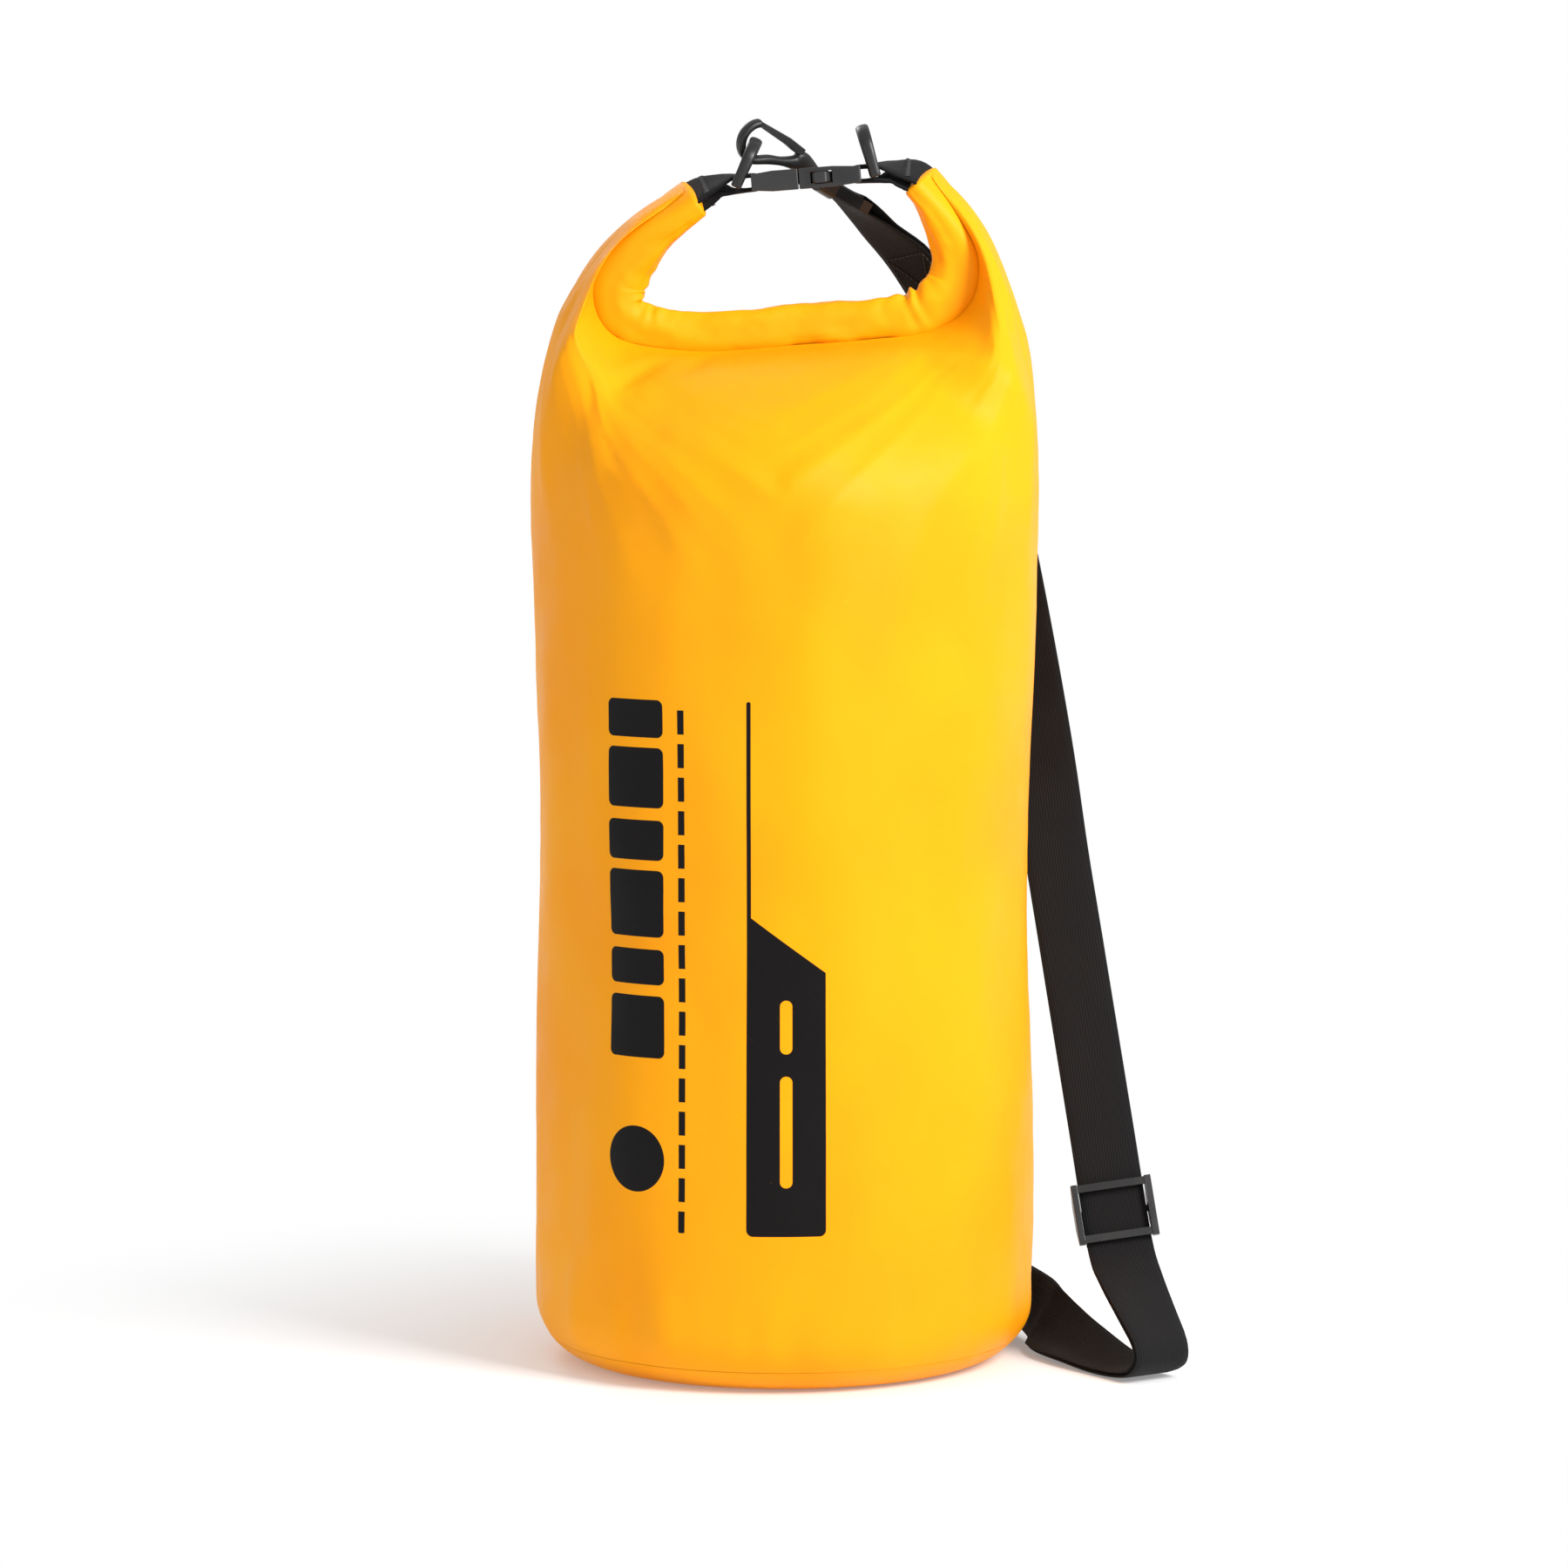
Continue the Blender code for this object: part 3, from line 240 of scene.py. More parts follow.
def set_inputs(node, **values):
    """Sets a shader node's plain inputs, named with _ for a space."""
    for key, value in values.items():
        node.inputs[key.replace("_", " ")].default_value = value


class Nodes:
    """Short spellings for a material's node tree."""

    def __init__(self, name):
        self.material = bpy.data.materials.new(name)
        self.material.use_nodes = True
        self.tree = self.material.node_tree
        self.shader = self.tree.nodes["Principled BSDF"]

    def add(self, kind, **values):
        node = self.tree.nodes.new(kind)
        for key, value in values.items():
            setattr(node, key, value)
        return node

    def link(self, out, into):
        self.tree.links.new(out, into)

    def feed(self, socket, value):
        if isinstance(value, (int, float)):
            socket.default_value = value
        else:
            self.link(value, socket)

    def math(self, operation, a, b=0.0, c=0.0):
        node = self.add("ShaderNodeMath", operation=operation)
        for socket, value in zip(node.inputs, (a, b, c)):
            self.feed(socket, value)
        return node.outputs[0]

    def times(self, a, b):
        return self.math("MULTIPLY", a, b)

    def noise(self, vector, scale, detail=3.0, roughness=0.5):
        node = self.add("ShaderNodeTexNoise")
        self.link(vector, node.inputs["Vector"])
        set_inputs(node, Scale=scale, Detail=detail, Roughness=roughness)
        return node.outputs["Fac"]

    def place(self):
        return self.add("ShaderNodeTexCoord").outputs["Object"]

    def flat(self):
        """The place on the cut cloth, as separate u and v in metres."""
        node = self.add("ShaderNodeSeparateXYZ")
        self.link(self.add("ShaderNodeUVMap", uv_map="flat").outputs[0], node.inputs[0])
        return node.outputs[0], node.outputs[1]

    def ramp(self, value, low, high, to_low=0.0, to_high=1.0):
        node = self.add("ShaderNodeMapRange", interpolation_type="SMOOTHSTEP")
        self.feed(node.inputs["Value"], value)
        set_inputs(node, From_Min=low, From_Max=high, To_Min=to_low, To_Max=to_high)
        return node.outputs[0]

    def blend(self, factor, a, b):
        node = self.add("ShaderNodeMix", data_type="RGBA")
        self.feed(node.inputs["Factor"], factor)
        for socket, value in zip((node.inputs[6], node.inputs[7]), (a, b)):
            if isinstance(value, tuple):
                socket.default_value = (*value, 1.0)
            else:
                self.link(value, socket)
        return node.outputs[2]

    def wave(self, value, pitch):
        """A sine with the given pitch in metres."""
        return self.math("SINE", self.times(value, 2 * pi / pitch))

    def finish(self, colour, rough, normal, **plain):
        for key, out in (("Base Color", colour), ("Roughness", rough), ("Normal", normal)):
            self.link(out, self.shader.inputs[key])
        set_inputs(self.shader, **plain)
        return self.material

    def relief(self, height, distance, strength=1.0, under=None):
        node = self.add("ShaderNodeBump")
        set_inputs(node, Strength=strength, Distance=distance)
        self.link(height, node.inputs["Height"])
        if under:
            self.link(under, node.inputs["Normal"])
        return node.outputs[0]

    def box(self, u, v, centre, half, corner):
        """1 inside a rectangle with rounded corners on the cloth, 0 outside."""
        squares = []
        for place, middle, reach in zip((u, v), centre, half):
            away = self.math("ABSOLUTE", self.math("SUBTRACT", place, middle))
            past = self.math("MAXIMUM", self.math("SUBTRACT", away, reach - corner), 0.0)
            squares.append(self.times(past, past))
        far = self.math("SQRT", self.math("ADD", *squares))
        return self.ramp(far, corner - PRINT_EDGE, corner + PRINT_EDGE, 1.0, 0.0)


FABRIC_COLOUR = (0.98, 0.385, 0.002)
FABRIC_DEEP = (0.96, 0.34, 0.002)
SCUFF_COLOUR = (1.0, 0.58, 0.05)
INK = (0.005, 0.004, 0.004)
WEAVE_PITCH = 0.00045
PRINT_EDGE = 0.00012  # half the soft edge of a printed mark


def fabric_material(name, printed):
    """Coated satin fabric: fine weave, creases, scuffs and plain printed marks."""
    n = Nodes(name)
    place = n.place()
    u, v = n.flat()
    tone = n.noise(place, 9.0, 2.0)
    colour = n.blend(n.ramp(tone, 0.35, 0.7), FABRIC_COLOUR, FABRIC_DEEP)
    scuff = n.ramp(n.noise(place, 160.0, 5.0, 0.65), 0.66, 0.8)
    colour = n.blend(n.times(scuff, 0.14), colour, SCUFF_COLOUR)
    weave = n.times(n.wave(u, WEAVE_PITCH), n.wave(v, WEAVE_PITCH))
    rough = n.ramp(n.noise(place, 38.0, 4.0), 0.3, 0.7, 0.4, 0.52)
    # Ripples, then creases
    normal = n.relief(n.noise(place, 11.0, 2.0), 0.0016, 0.45)
    normal = n.relief(n.noise(place, 30.0, 3.0, 0.45), 0.0007, 0.35, normal)
    if printed:
        # Overlaps of cloth at the vertical weld and the base weld
        seam = n.math("ABSOLUTE", n.math("SUBTRACT", n.math("ABSOLUTE", u), pi * BAG_RADIUS))
        normal = n.relief(n.ramp(seam, 0.0105, 0.0112, 1.0, 0.0), 0.0009, 1.0, normal)
        normal = n.relief(n.ramp(v, 0.0115, 0.0122, 1.0, 0.0), 0.0009, 1.0, normal)
        ink = print_mask(n, u, v)
        worn = n.ramp(n.noise(place, 300.0, 4.0, 0.7), 0.22, 0.34, 0.965, 1.0)
        ink = n.times(ink, worn)
        colour = n.blend(ink, colour, INK)
        rough = n.math("SUBTRACT", rough, n.times(ink, 0.05))
        normal = n.relief(ink, 0.00008, 0.6, normal)
    normal = n.relief(weave, 0.00004, 0.35, normal)
    return n.finish(colour, rough, normal, Specular_IOR_Level=0.13, Subsurface_Weight=0.08,
                    Subsurface_Radius=(0.01, 0.004, 0.001), Subsurface_Scale=1.0)


def print_mask(n, u, v):
    """Plain printed marks: a column of blocks, a disc, a dashed line, a thin line and a panel."""
    column_u, column_half = -0.0716, 0.015
    panel_u = 0.001
    marks = []
    for centre, half in ((0.3065, 0.0085), (0.28, 0.0135), (0.252, 0.009), (0.2235, 0.015),
                         (0.195, 0.008), (0.168, 0.014)):
        marks.append(n.box(u, v, (column_u, centre), (column_half, half), 0.003))
    marks.append(n.box(u, v, (column_u, 0.108), (column_half,) * 2, column_half - 0.0001))
    dashes = n.math("LESS_THAN", n.math("FRACT", n.times(v, 1 / 0.015)), 0.72)
    dashed = n.box(u, v, (-0.0478, 0.1945), (0.0016, 0.1185), 0.0008)
    marks.append(n.times(dashed, dashes))
    marks.append(n.box(u, v, (-0.016, 0.264), (0.001, 0.0512), 0.0009))
    panel = n.box(u, v, (panel_u, 0.148), (0.018, 0.072), 0.003)
    slant = n.math("ADD", v, n.times(u, 0.72))
    panel = n.times(panel, n.ramp(slant, 0.2078, 0.2082, 1.0, 0.0))
    for centre, half in ((0.123, 0.025), (0.17, 0.012)):
        slot = n.box(u, v, (panel_u, centre), (0.0028, half), 0.0027)
        panel = n.math("SUBTRACT", panel, slot)
    marks.append(panel)
    total = marks[0]
    for mark in marks[1:]:
        total = n.math("MAXIMUM", total, mark)
    return total


def webbing_material():
    """Black woven webbing: ribs crossed by a slanting weft, with fuzz and a dusty bloom, and
    painted shade darkening the weave's grooves.
    """
    n = Nodes("black_webbing")
    place = n.place()
    u, v = n.flat()
    rib = n.math("ABSOLUTE", n.math("SINE", n.times(u, pi / 0.00125)))
    turns = [n.times(way, 2 * pi / pitch) for way, pitch in ((v, 0.0011), (u, 0.0025))]
    weft = n.math("ABSOLUTE", n.math("SINE", n.math("ADD", *turns)))
    weave = n.times(rib, n.math("ADD", 0.55, n.times(weft, 0.45)))
    fuzz = n.noise(place, 900.0, 3.0, 0.7)
    bloom = n.noise(place, 40.0, 4.0)
    # Painted shade: the colour follows the weave's height, darker in its grooves, mixed with the
    # dusty bloom
    level = n.times(weave, n.ramp(bloom, 0.3, 0.75, 0.45, 1.0))
    colour = n.blend(level, (0.004, 0.004, 0.005), (0.016, 0.015, 0.015))
    normal = n.relief(weave, 0.00022, 0.8)
    normal = n.relief(fuzz, 0.00008, 0.5, normal)
    rough = n.ramp(bloom, 0.3, 0.7, 0.7, 0.86)
    return n.finish(colour, rough, normal, Specular_IOR_Level=0.1, Sheen_Weight=0.05,
                    Sheen_Roughness=0.55)


def plastic_material(name, shade, grain):
    """Moulded acetal: fine spark-eroded grain, faint flow marks and edges polished by handling."""
    n = Nodes(name)
    place = n.place()
    fine = n.noise(place, 1500.0, 4.0, 0.6)
    flow = n.noise(place, 70.0, 3.0)
    pointy = n.add("ShaderNodeNewGeometry").outputs["Pointiness"]
    edge = n.ramp(pointy, 0.52, 0.6)
    scratch = n.ramp(n.noise(place, 330.0, 5.0, 0.7), 0.62, 0.74)
    worn = n.math("ADD", n.times(edge, 0.5), n.times(scratch, 0.12))
    colour = n.blend(worn, (shade,) * 3, (0.045, 0.045, 0.047))
    rough = n.math("SUBTRACT", n.ramp(flow, 0.3, 0.7, 0.34, 0.46), n.times(edge, 0.08))
    return n.finish(colour, rough, n.relief(fine, 0.00006, grain))


def plain_material(name, colour, roughness, scale):
    """Speckled thread, film or extruded strip."""
    n = Nodes(name)
    place = n.place()
    speck = n.noise(place, scale, 4.0)
    darker = tuple(c * 0.82 for c in colour)
    rough = n.ramp(speck, 0.3, 0.7, roughness - 0.06, roughness + 0.06)
    mixed = n.blend(n.ramp(speck, 0.3, 0.7), colour, darker)
    return n.finish(mixed, rough, n.relief(speck, 0.00008, 0.4))


FABRIC_PRINTED = fabric_material("yellow_fabric_printed", True)
FABRIC = fabric_material("yellow_fabric", False)
WEBBING = webbing_material()
PLASTIC = plastic_material("black_plastic", 0.008, 0.35)
THREAD = plain_material("black_thread", (0.03, 0.029, 0.03), 0.62, 700.0)


# ---- roll

def roll_samples(count):
    line = catmull([Vector((x, 0, z)) for x, z in ROLL_LINE], 12)
    along = lengths_along(line)
    points = []
    for i in range(count + 1):
        k, t = at_length(along, along[-1] * i / count)
        points.append(line[k].lerp(line[k + 1], t))
    return points, [Vector((w.z, 0, -w.x)) for w in tangents(points)]


ROLL_COUNT = 260
ROLL_COLUMNS = 72
ROLL_POWER = 2.7  # of the superellipse that is the roll's section
ROLL_POINTS, ROLL_OUT = roll_samples(ROLL_COUNT)


def roll_at(share):
    place = (share + 1) / 2 * ROLL_COUNT
    i = min(ROLL_COUNT - 1, int(place))
    t = place - i
    outward = ROLL_OUT[i].lerp(ROLL_OUT[i + 1], t).normalized()
    return ROLL_POINTS[i].lerp(ROLL_POINTS[i + 1], t), outward


def roll_half(share):
    far = abs(share)
    if far < 0.62:
        a, b, t = *ROLL_HALVES[:2], ease((far - 0.34) / 0.28)
    else:
        a, b, t = *ROLL_HALVES[1:], ease((far - 0.62) / 0.33)
    return mix(a[0], b[0], t), mix(a[1], b[1], t)


def end_twist(share):
    """The mouth's ends turn so that their front edges hang lower."""
    return -END_TWIST * ease((abs(share) - 0.55) / 0.4)


def turned(x, y, angle):
    return x * cos(angle) - y * sin(angle), x * sin(angle) + y * cos(angle)


def make_roll():
    points = np.zeros((ROLL_COUNT + 1, ROLL_COLUMNS, 3))
    flat = []
    length = lengths_along(ROLL_POINTS)
    for i, (centre, outward) in enumerate(zip(ROLL_POINTS, ROLL_OUT)):
        share = 2 * i / ROLL_COUNT - 1
        far = abs(share)
        half = roll_half(share)
        twist = end_twist(share)
        row = []
        # The layers end in a rounded rim at both ends
        rim = 1 - 0.55 * max(0.0, (far - 0.985) / 0.015) ** 2
        bend = bump(far, 0.47, 0.1) + 0.5 * bump(far, 0.62, 0.08)
        for j in range(ROLL_COLUMNS):
            a = 2 * pi * j / ROLL_COLUMNS
            c, s = cos(a), sin(a)
            reach = superellipse(c, s, ROLL_POWER)
            x, y = half[0] * c * reach, half[1] * s * reach
            inner = ease((-c - 0.1) / 0.9)
            # Turns of the roll: two edges of cloth that run along it
            layer = 0.00045 * ease((sin(a - 0.7) - 0.05) / 0.12)
            layer += 0.0004 * ease((sin(-a - 0.35 - 0.2 * sin(share * 7)) - 0.3) / 0.1)
            # Pleats where the mouth bends upwards, deepest on the inside of the bend
            pleat = sin(share * 84 + 4.0 * noise_at(share * 11, a / 1.2, 3.1))
            uneven = 0.45 + 1.1 * noise_at(share * 15, a * 0.8, 9.4)
            swell = 0.0011 * bend * (0.35 + 0.9 * inner) * pleat * uneven
            # Slack folds along the roll and the ears
            slack = 0.0011 * noise_at(share * 9, a * 1.2, 7.7)
            slack += 0.0003 * noise_at(share * 24, a * 2.0, 2.2)
            slack += 0.001 * ease((far - 0.5) / 0.3) * noise_at(a * 3.2, share * 6, 5.5)
            # The tube's side lies on the outside of the ears, so they stay smooth there
            covered = ease((far - 0.46) / 0.1) * ease((c + 0.15) / 0.35)
            calm = (1 - 0.6 * ease((far - 0.93) / 0.05)) * (1 - covered)
            grow = (layer + swell + slack) * calm
            n = Vector((c * reach, s * reach)).normalized()
            x, y = (x + n.x * grow) * rim, (y + n.y * grow) * rim
            x, y = turned(x, y, twist)
            points[i, j] = centre + outward * x + BACK * y
            row.append(((a - pi) * 0.008, length[i]))
        row.append((pi * 0.008, length[i]))
        flat.append(row)
    mesh = grid("rolled_mouth", points, flat, caps=True)
    piece(mesh, FABRIC, node="rolled_top")


# ---- bag

COLUMNS = 168
BOTTOM_ROWS = 8
SIDE_ROWS = 62
TOP_ROWS = 34
MOUTH_END = 0.975  # how far up the roll's line the tube's edge goes
CLOTH_STEPS = 40
CLOTH_REACH = 0.018  # the most that the simulation may move a point


def bag_radius(z):
    share = min(1.0, max(0.0, (z - BASE_ROUND) / (SHOULDER_Z - BASE_ROUND)))
    return BAG_RADIUS - WAIST * sin(pi * share) ** 2


def bottom_edge(angle):
    flat = BAG_RADIUS - BASE_ROUND
    return flat + BASE_ROUND * cos(angle), BASE_ROUND + BASE_ROUND * sin(angle)


def mouth_point(turn):
    """Where the tube enters the roll; turn is 0 at the front and 90 degrees at the right end."""
    front = abs(turn) <= 90
    way = 1 if turn >= 0 else -1
    share = turn / 90 if front else way * (180 - abs(turn)) / 90
    share = max(-MOUTH_END, min(MOUTH_END, share))
    centre, outward = roll_at(share)
    half = roll_half(share)
    depth = 0.0052 + 0.003 * ease(abs(share))
    depth *= (1 - abs(share) ** 6) ** 0.5
    y = -depth if front else depth
    # Tucked into the roll along the middle, on its surface along the ears
    surface = half[0] * (1 - (depth / half[1]) ** ROLL_POWER) ** (1 / ROLL_POWER) + 0.0004
    x = mix(half[0] * 0.78, surface, ease((abs(share) - 0.5) / 0.12))
    x, y = turned(x, y, end_twist(share))
    return centre + outward * x + BACK * y


def bag_rows():
    """Rows of the filled tube, each row's height on the straight cut, and each column's turn."""
    turns = [-180 + 360 * (j + 0.5) / COLUMNS for j in range(COLUMNS)]
    ways = [Vector((sin(radians(t)), -cos(radians(t)), 0)) for t in turns]
    rows = []
    cut = []
    for i in range(BOTTOM_ROWS + 1):
        angle = SEAM_ANGLE * (1 - i / BOTTOM_ROWS)
        radius, z = bottom_edge(angle)
        rows.append([way * radius + UP * z for way in ways])
        cut.append(BASE_ROUND * (angle - SEAM_ANGLE))
    for i in range(1, SIDE_ROWS + 1):
        z = BASE_ROUND + (SHOULDER_Z - BASE_ROUND) * i / SIDE_ROWS
        rows.append([way * bag_radius(z) + UP * z for way in ways])
        cut.append(cut[BOTTOM_ROWS] + z - BASE_ROUND)
    start = cut[-1]
    for i in range(1, TOP_ROWS + 1):
        t = i / TOP_ROWS
        row = []
        for turn, way in zip(turns, ways):
            foot = way * BAG_RADIUS + UP * SHOULDER_Z
            top = mouth_point(turn)
            side = abs(sin(radians(turn))) ** 2
            rise = top.z - foot.z
            low = foot + UP * (mix(0.55, 0.42, side) * rise)
            high = top + (foot - top) * mix(0.48, 0.9, side)
            high.z = top.z - mix(0.22, 0.2, side) * rise
            a, b, c, d = (1 - t) ** 3, 3 * t * (1 - t) ** 2, 3 * t * t * (1 - t), t ** 3
            row.append(a * foot + b * low + c * high + d * top)
        rows.append(row)
        cut.append(start + (CUT_HEIGHT - start) * t)
    return np.array([[tuple(p) for p in row] for row in rows]), cut, turns


def drape(obj, straight_points, pinned):
    """Lets the cloth settle from its filled shape towards the lengths of its straight cut."""
    obj.shape_key_add(name="filled")
    straight = obj.shape_key_add(name="straight_cut")
    straight.data.foreach_set("co", straight_points.astype(np.float32).ravel())
    straight.value = 0.0
    obj.vertex_groups.new(name="held").add(pinned, 1.0, "REPLACE")
    cloth = obj.modifiers.new("cloth", "CLOTH")
    values = dict(
        quality=8, mass=0.05, air_damping=3.0, use_pressure=True, uniform_pressure_force=5.0,
        tension_stiffness=30, compression_stiffness=30, shear_stiffness=12, bending_stiffness=1.2,
        tension_damping=12, compression_damping=12, shear_damping=12, bending_damping=1.0,
        vertex_group_mass="held", pin_stiffness=1.0, rest_shape_key=straight,
    )
    for key, value in values.items():
        setattr(cloth.settings, key, value)
    cloth.settings.effector_weights.gravity = 0.0
    cloth.collision_settings.use_collision = False
    cloth.point_cache.frame_end = CLOTH_STEPS
    for step in range(1, CLOTH_STEPS + 1):
        SCENE.frame_set(step)
    settled = obj.evaluated_get(bpy.context.evaluated_depsgraph_get())
    co = np.zeros(len(obj.data.vertices) * 3, np.float32)
    settled.data.vertices.foreach_get("co", co)
    SCENE.frame_set(1)
    return co.reshape(-1, 3).astype(float)


def ring_radius(ring):
    """The radius of a circle as long as the closed ring of points."""
    return np.linalg.norm(ring - np.roll(ring, 1, axis=0), axis=1).sum() / (2 * pi)


def straight_cut(points, turns):
    """The unfilled tube: round rings as long as the cloth's own, a little slack near the mouth."""
    ring = np.array([[sin(radians(t)), -cos(radians(t)), 0.0] for t in turns])
    steps = np.linalg.norm(points[1:] - points[:-1], axis=2)
    tall = np.vstack([np.zeros(COLUMNS), np.cumsum(steps, axis=0)])
    mouth = ring_radius(points[-1])
    side = np.abs(ring[:, 0]) ** 2
    straight = np.zeros(points.shape)
    for i in range(len(points)):
        t = ease((i - BOTTOM_ROWS - SIDE_ROWS) / TOP_ROWS)
        around = ring_radius(points[i])
        radius = mix(BAG_RADIUS * 1.004, max(around, mouth) * 1.07, t)
        if i <= BOTTOM_ROWS:
            radius = around
        straight[i] = ring * radius
        straight[i, :, 2] = tall[i] * (1 + 0.012 + 0.022 * side)
    return straight


def corner_fold(turn, v, way):
    """The fold down the shoulder from each bend of the mouth: a ridge between two hollows."""
    t = (CUT_HEIGHT - v) / 0.15
    line = mix(radians(50), radians(76), ease(t)) + radians(2.5) * sin(v * 60 + way)
    away = (turn - line) / radians(8)
    window = ease(t / 0.25) * ease((1 - t) / 0.55)
    ridge = 0.0042 * exp(-abs(away) * 1.3)
    return window * (ridge - 0.0046 * bump(away, -1.5, 0.9) - 0.002 * bump(away, 1.9, 0.9))


def make_bag():
    points, cut, turns = bag_rows()
    rows = len(cut)
    around = [radians(t) * BAG_RADIUS for t in turns]
    flat = [[(u, v) for u in around] + [(around[0] + 2 * pi * BAG_RADIUS, v)] for v in cut]
    holder = add_object("drape", grid("drape", points, flat))
    straight = straight_cut(points, turns)
    pinned = [*range((BOTTOM_ROWS - 1) * COLUMNS), *range((rows - 2) * COLUMNS, rows * COLUMNS)]
    settled = drape(holder, straight.reshape(-1, 3), pinned).reshape(points.shape)
    bpy.data.objects.remove(holder, do_unlink=True)
    move = settled - points
    reach = np.linalg.norm(move, axis=2, keepdims=True)
    points = points + move * np.minimum(1.0, CLOTH_REACH / np.maximum(reach, 1e-9))
    # Puckers along the base weld, long faint draws down the tube, and creases on the shoulders
    for i, v in enumerate(cut):
        for j, turn in enumerate(turns):
            a = radians(turn)
            low = bump(v, 0.03, 0.022)
            pucker = 0.0017 * low * noise_at(sin(a) * 8, cos(a) * 8, v * 14)
            draw = 0.002 * noise_at(sin(a) * 2.1, cos(a) * 2.1, v * 6.0)
            draw += 0.0012 * noise_at(sin(a) * 4.3, cos(a) * 4.3, v * 13.0)
            fan = (abs(a) - pi / 2) * 5.0 / (0.3 + (CUT_HEIGHT - v) * 6.0)
            ridge = 1 - abs(2 * noise_at(fan, v * 4.0, 3.0 if a > 0 else 8.0))
            shoulder = ease((v - 0.35) / 0.06) * ease((CUT_HEIGHT - 0.01 - v) / 0.03)
            crease = 0.0015 * shoulder * (max(0.0, ridge) ** 3 - 0.35)
            crease += corner_fold(min(abs(a), pi - abs(a)), v, 1 if a > 0 else -1)
            fade = ease((CUT_HEIGHT - 0.012 - v) / 0.05) * ease((v - 0.004) / 0.02)
            points[i, j] += np.array((sin(a), -cos(a), 0)) * ((pucker + draw) * fade + crease)
    mesh = grid("bag_tube", points, flat)
    bag = piece(mesh, FABRIC_PRINTED, node="body_shell")
    bag.modifiers.new("finer", "SUBSURF").render_levels = 1


def make_base():
    """Round bottom, dished up to the weld, with the soft dents of a full bag."""
    rows, columns = 30, 96
    points = np.zeros((rows, columns, 3))
    flat = []
    flat_radius = BAG_RADIUS - BASE_ROUND
    for i in range(rows):
        t = i / (rows - 1)
        if t < 0.6:
            radius, z = flat_radius * max(0.004, t / 0.6), 0.0
        else:
            radius, z = bottom_edge(mix(-pi / 2, SEAM_ANGLE, (t - 0.6) / 0.4))
        row = []
        for j in range(columns):
            a = 2 * pi * j / columns
            x, y = radius * cos(a), radius * sin(a)
            dent = 0.0012 * max(0.0, noise_at(x * 40, y * 40, 1.0))
            dent *= 1 - ease((t - 0.5) / 0.3)
            points[i, j] = (x, y, z + dent)
            row.append((x, y))
        row.append(row[0])
        flat.append(row)
    mesh = grid("base_disc", points[::-1], flat[::-1])
    piece(mesh, FABRIC, node="base_panel")


# ---- webbing

# Route of the shoulder strap: centre of the webbing and the direction of its width
ROUTE = [
    ((0.0440, 0.0480, 0.5215), (-0.52, 0.84, -0.06)),
    ((0.0600, 0.0580, 0.5060), (-0.60, 0.76, -0.24)),
    ((0.0760, 0.0690, 0.4800), (-0.61, 0.75, -0.26)),
    ((0.0900, 0.0790, 0.4480), (-0.58, 0.78, -0.18)),
    ((0.0990, 0.0810, 0.4150), (-0.64, 0.75, -0.06)),
    ((0.1060, 0.0750, 0.3740), (-0.76, 0.64, 0.00)),
    ((0.1135, 0.0625, 0.3260), (-0.87, 0.46, 0.00)),
    ((0.1205, 0.0480, 0.2800), (-0.94, 0.28, -0.06)),
]
FOLD = [
    ((0.1590, -0.0405, 0.0425), (-0.95, -0.25, -0.06)),
    ((0.1655, -0.0570, 0.0290), (-0.88, -0.45, 0.00)),
    ((0.1705, -0.0700, 0.0185), (-0.81, -0.58, 0.00)),
    ((0.1712, -0.0742, 0.0100), (-0.81, -0.58, 0.00)),
    ((0.1670, -0.0700, 0.0038), (-0.81, -0.58, 0.00)),
    ((0.1600, -0.0600, 0.0017), (-0.81, -0.58, 0.00)),
    ((0.1500, -0.0460, 0.0030), (-0.80, -0.57, -0.10)),
    ((0.1385, -0.0295, 0.0070), (-0.77, -0.56, -0.30)),
    ((0.1290, -0.0130, 0.0105), (-0.68, -0.50, -0.54)),
    ((0.1230, 0.0040, 0.0140), (-0.50, -0.36, -0.78)),
    ((0.1212, 0.0200, 0.0165), (-0.28, -0.16, -0.94)),
]
STRAIGHT_TOP = Vector((0.1265, 0.033, 0.235))
STRAIGHT_FOOT = Vector((0.1545, -0.028, 0.056))
STRAIGHT_WAY = (STRAIGHT_FOOT - STRAIGHT_TOP).normalized()
STRAIGHT_ACROSS = (Vector((-1, 0, 0)) + STRAIGHT_WAY * STRAIGHT_WAY.x).normalized()
STRAIGHT_NORMAL = STRAIGHT_WAY.cross(STRAIGHT_ACROSS)
SLIDER_CENTRE = STRAIGHT_FOOT - STRAIGHT_WAY * 0.015
STRAP_HALF = 0.015
PLY_STEP = 0.002
HOOK_BAR = Vector((0.029, 0.0415, 0.5355))
HOOK_EYE = Vector((-0.012, 0.005, 0.5603))
HOOK_UP = (HOOK_EYE - HOOK_BAR).normalized()
HOOK_THROUGH = (BACK - HOOK_UP * HOOK_UP.y).normalized()
HOOK_RISE = towards(HOOK_THROUGH.cross(HOOK_UP), UP)
HOOK_NORMAL = HOOK_UP.cross(HOOK_RISE)
HOOK_LOOP = 0.0031  # middle radius of the strap's loop round the hook's bar
STRAP_LOOP = 0.0038  # the same round the anchor ring's bar
EASED_STRAP_LOOP = 0.0043  # drawn wider, because easing the corners tightens it
SLIDER_LOOP = 0.0028
SLIDER_BAR_DEPTH = 0.0049  # the slider's centre bar lies this far behind the outer ply
SEWN_FRAMES = 16  # frames of the run that the sewn end lies along
ANCHOR_Z = 0.04
ANCHOR_RING_RADIUS = 0.1212
STRAP_BAR_AZIMUTH = radians(55.2)
TAB_BAR_AZIMUTH = radians(63.8)
PATCH_AZIMUTH = (radians(67.5), radians(94.0))
PATCH_FACE = BAG_RADIUS + 0.0004
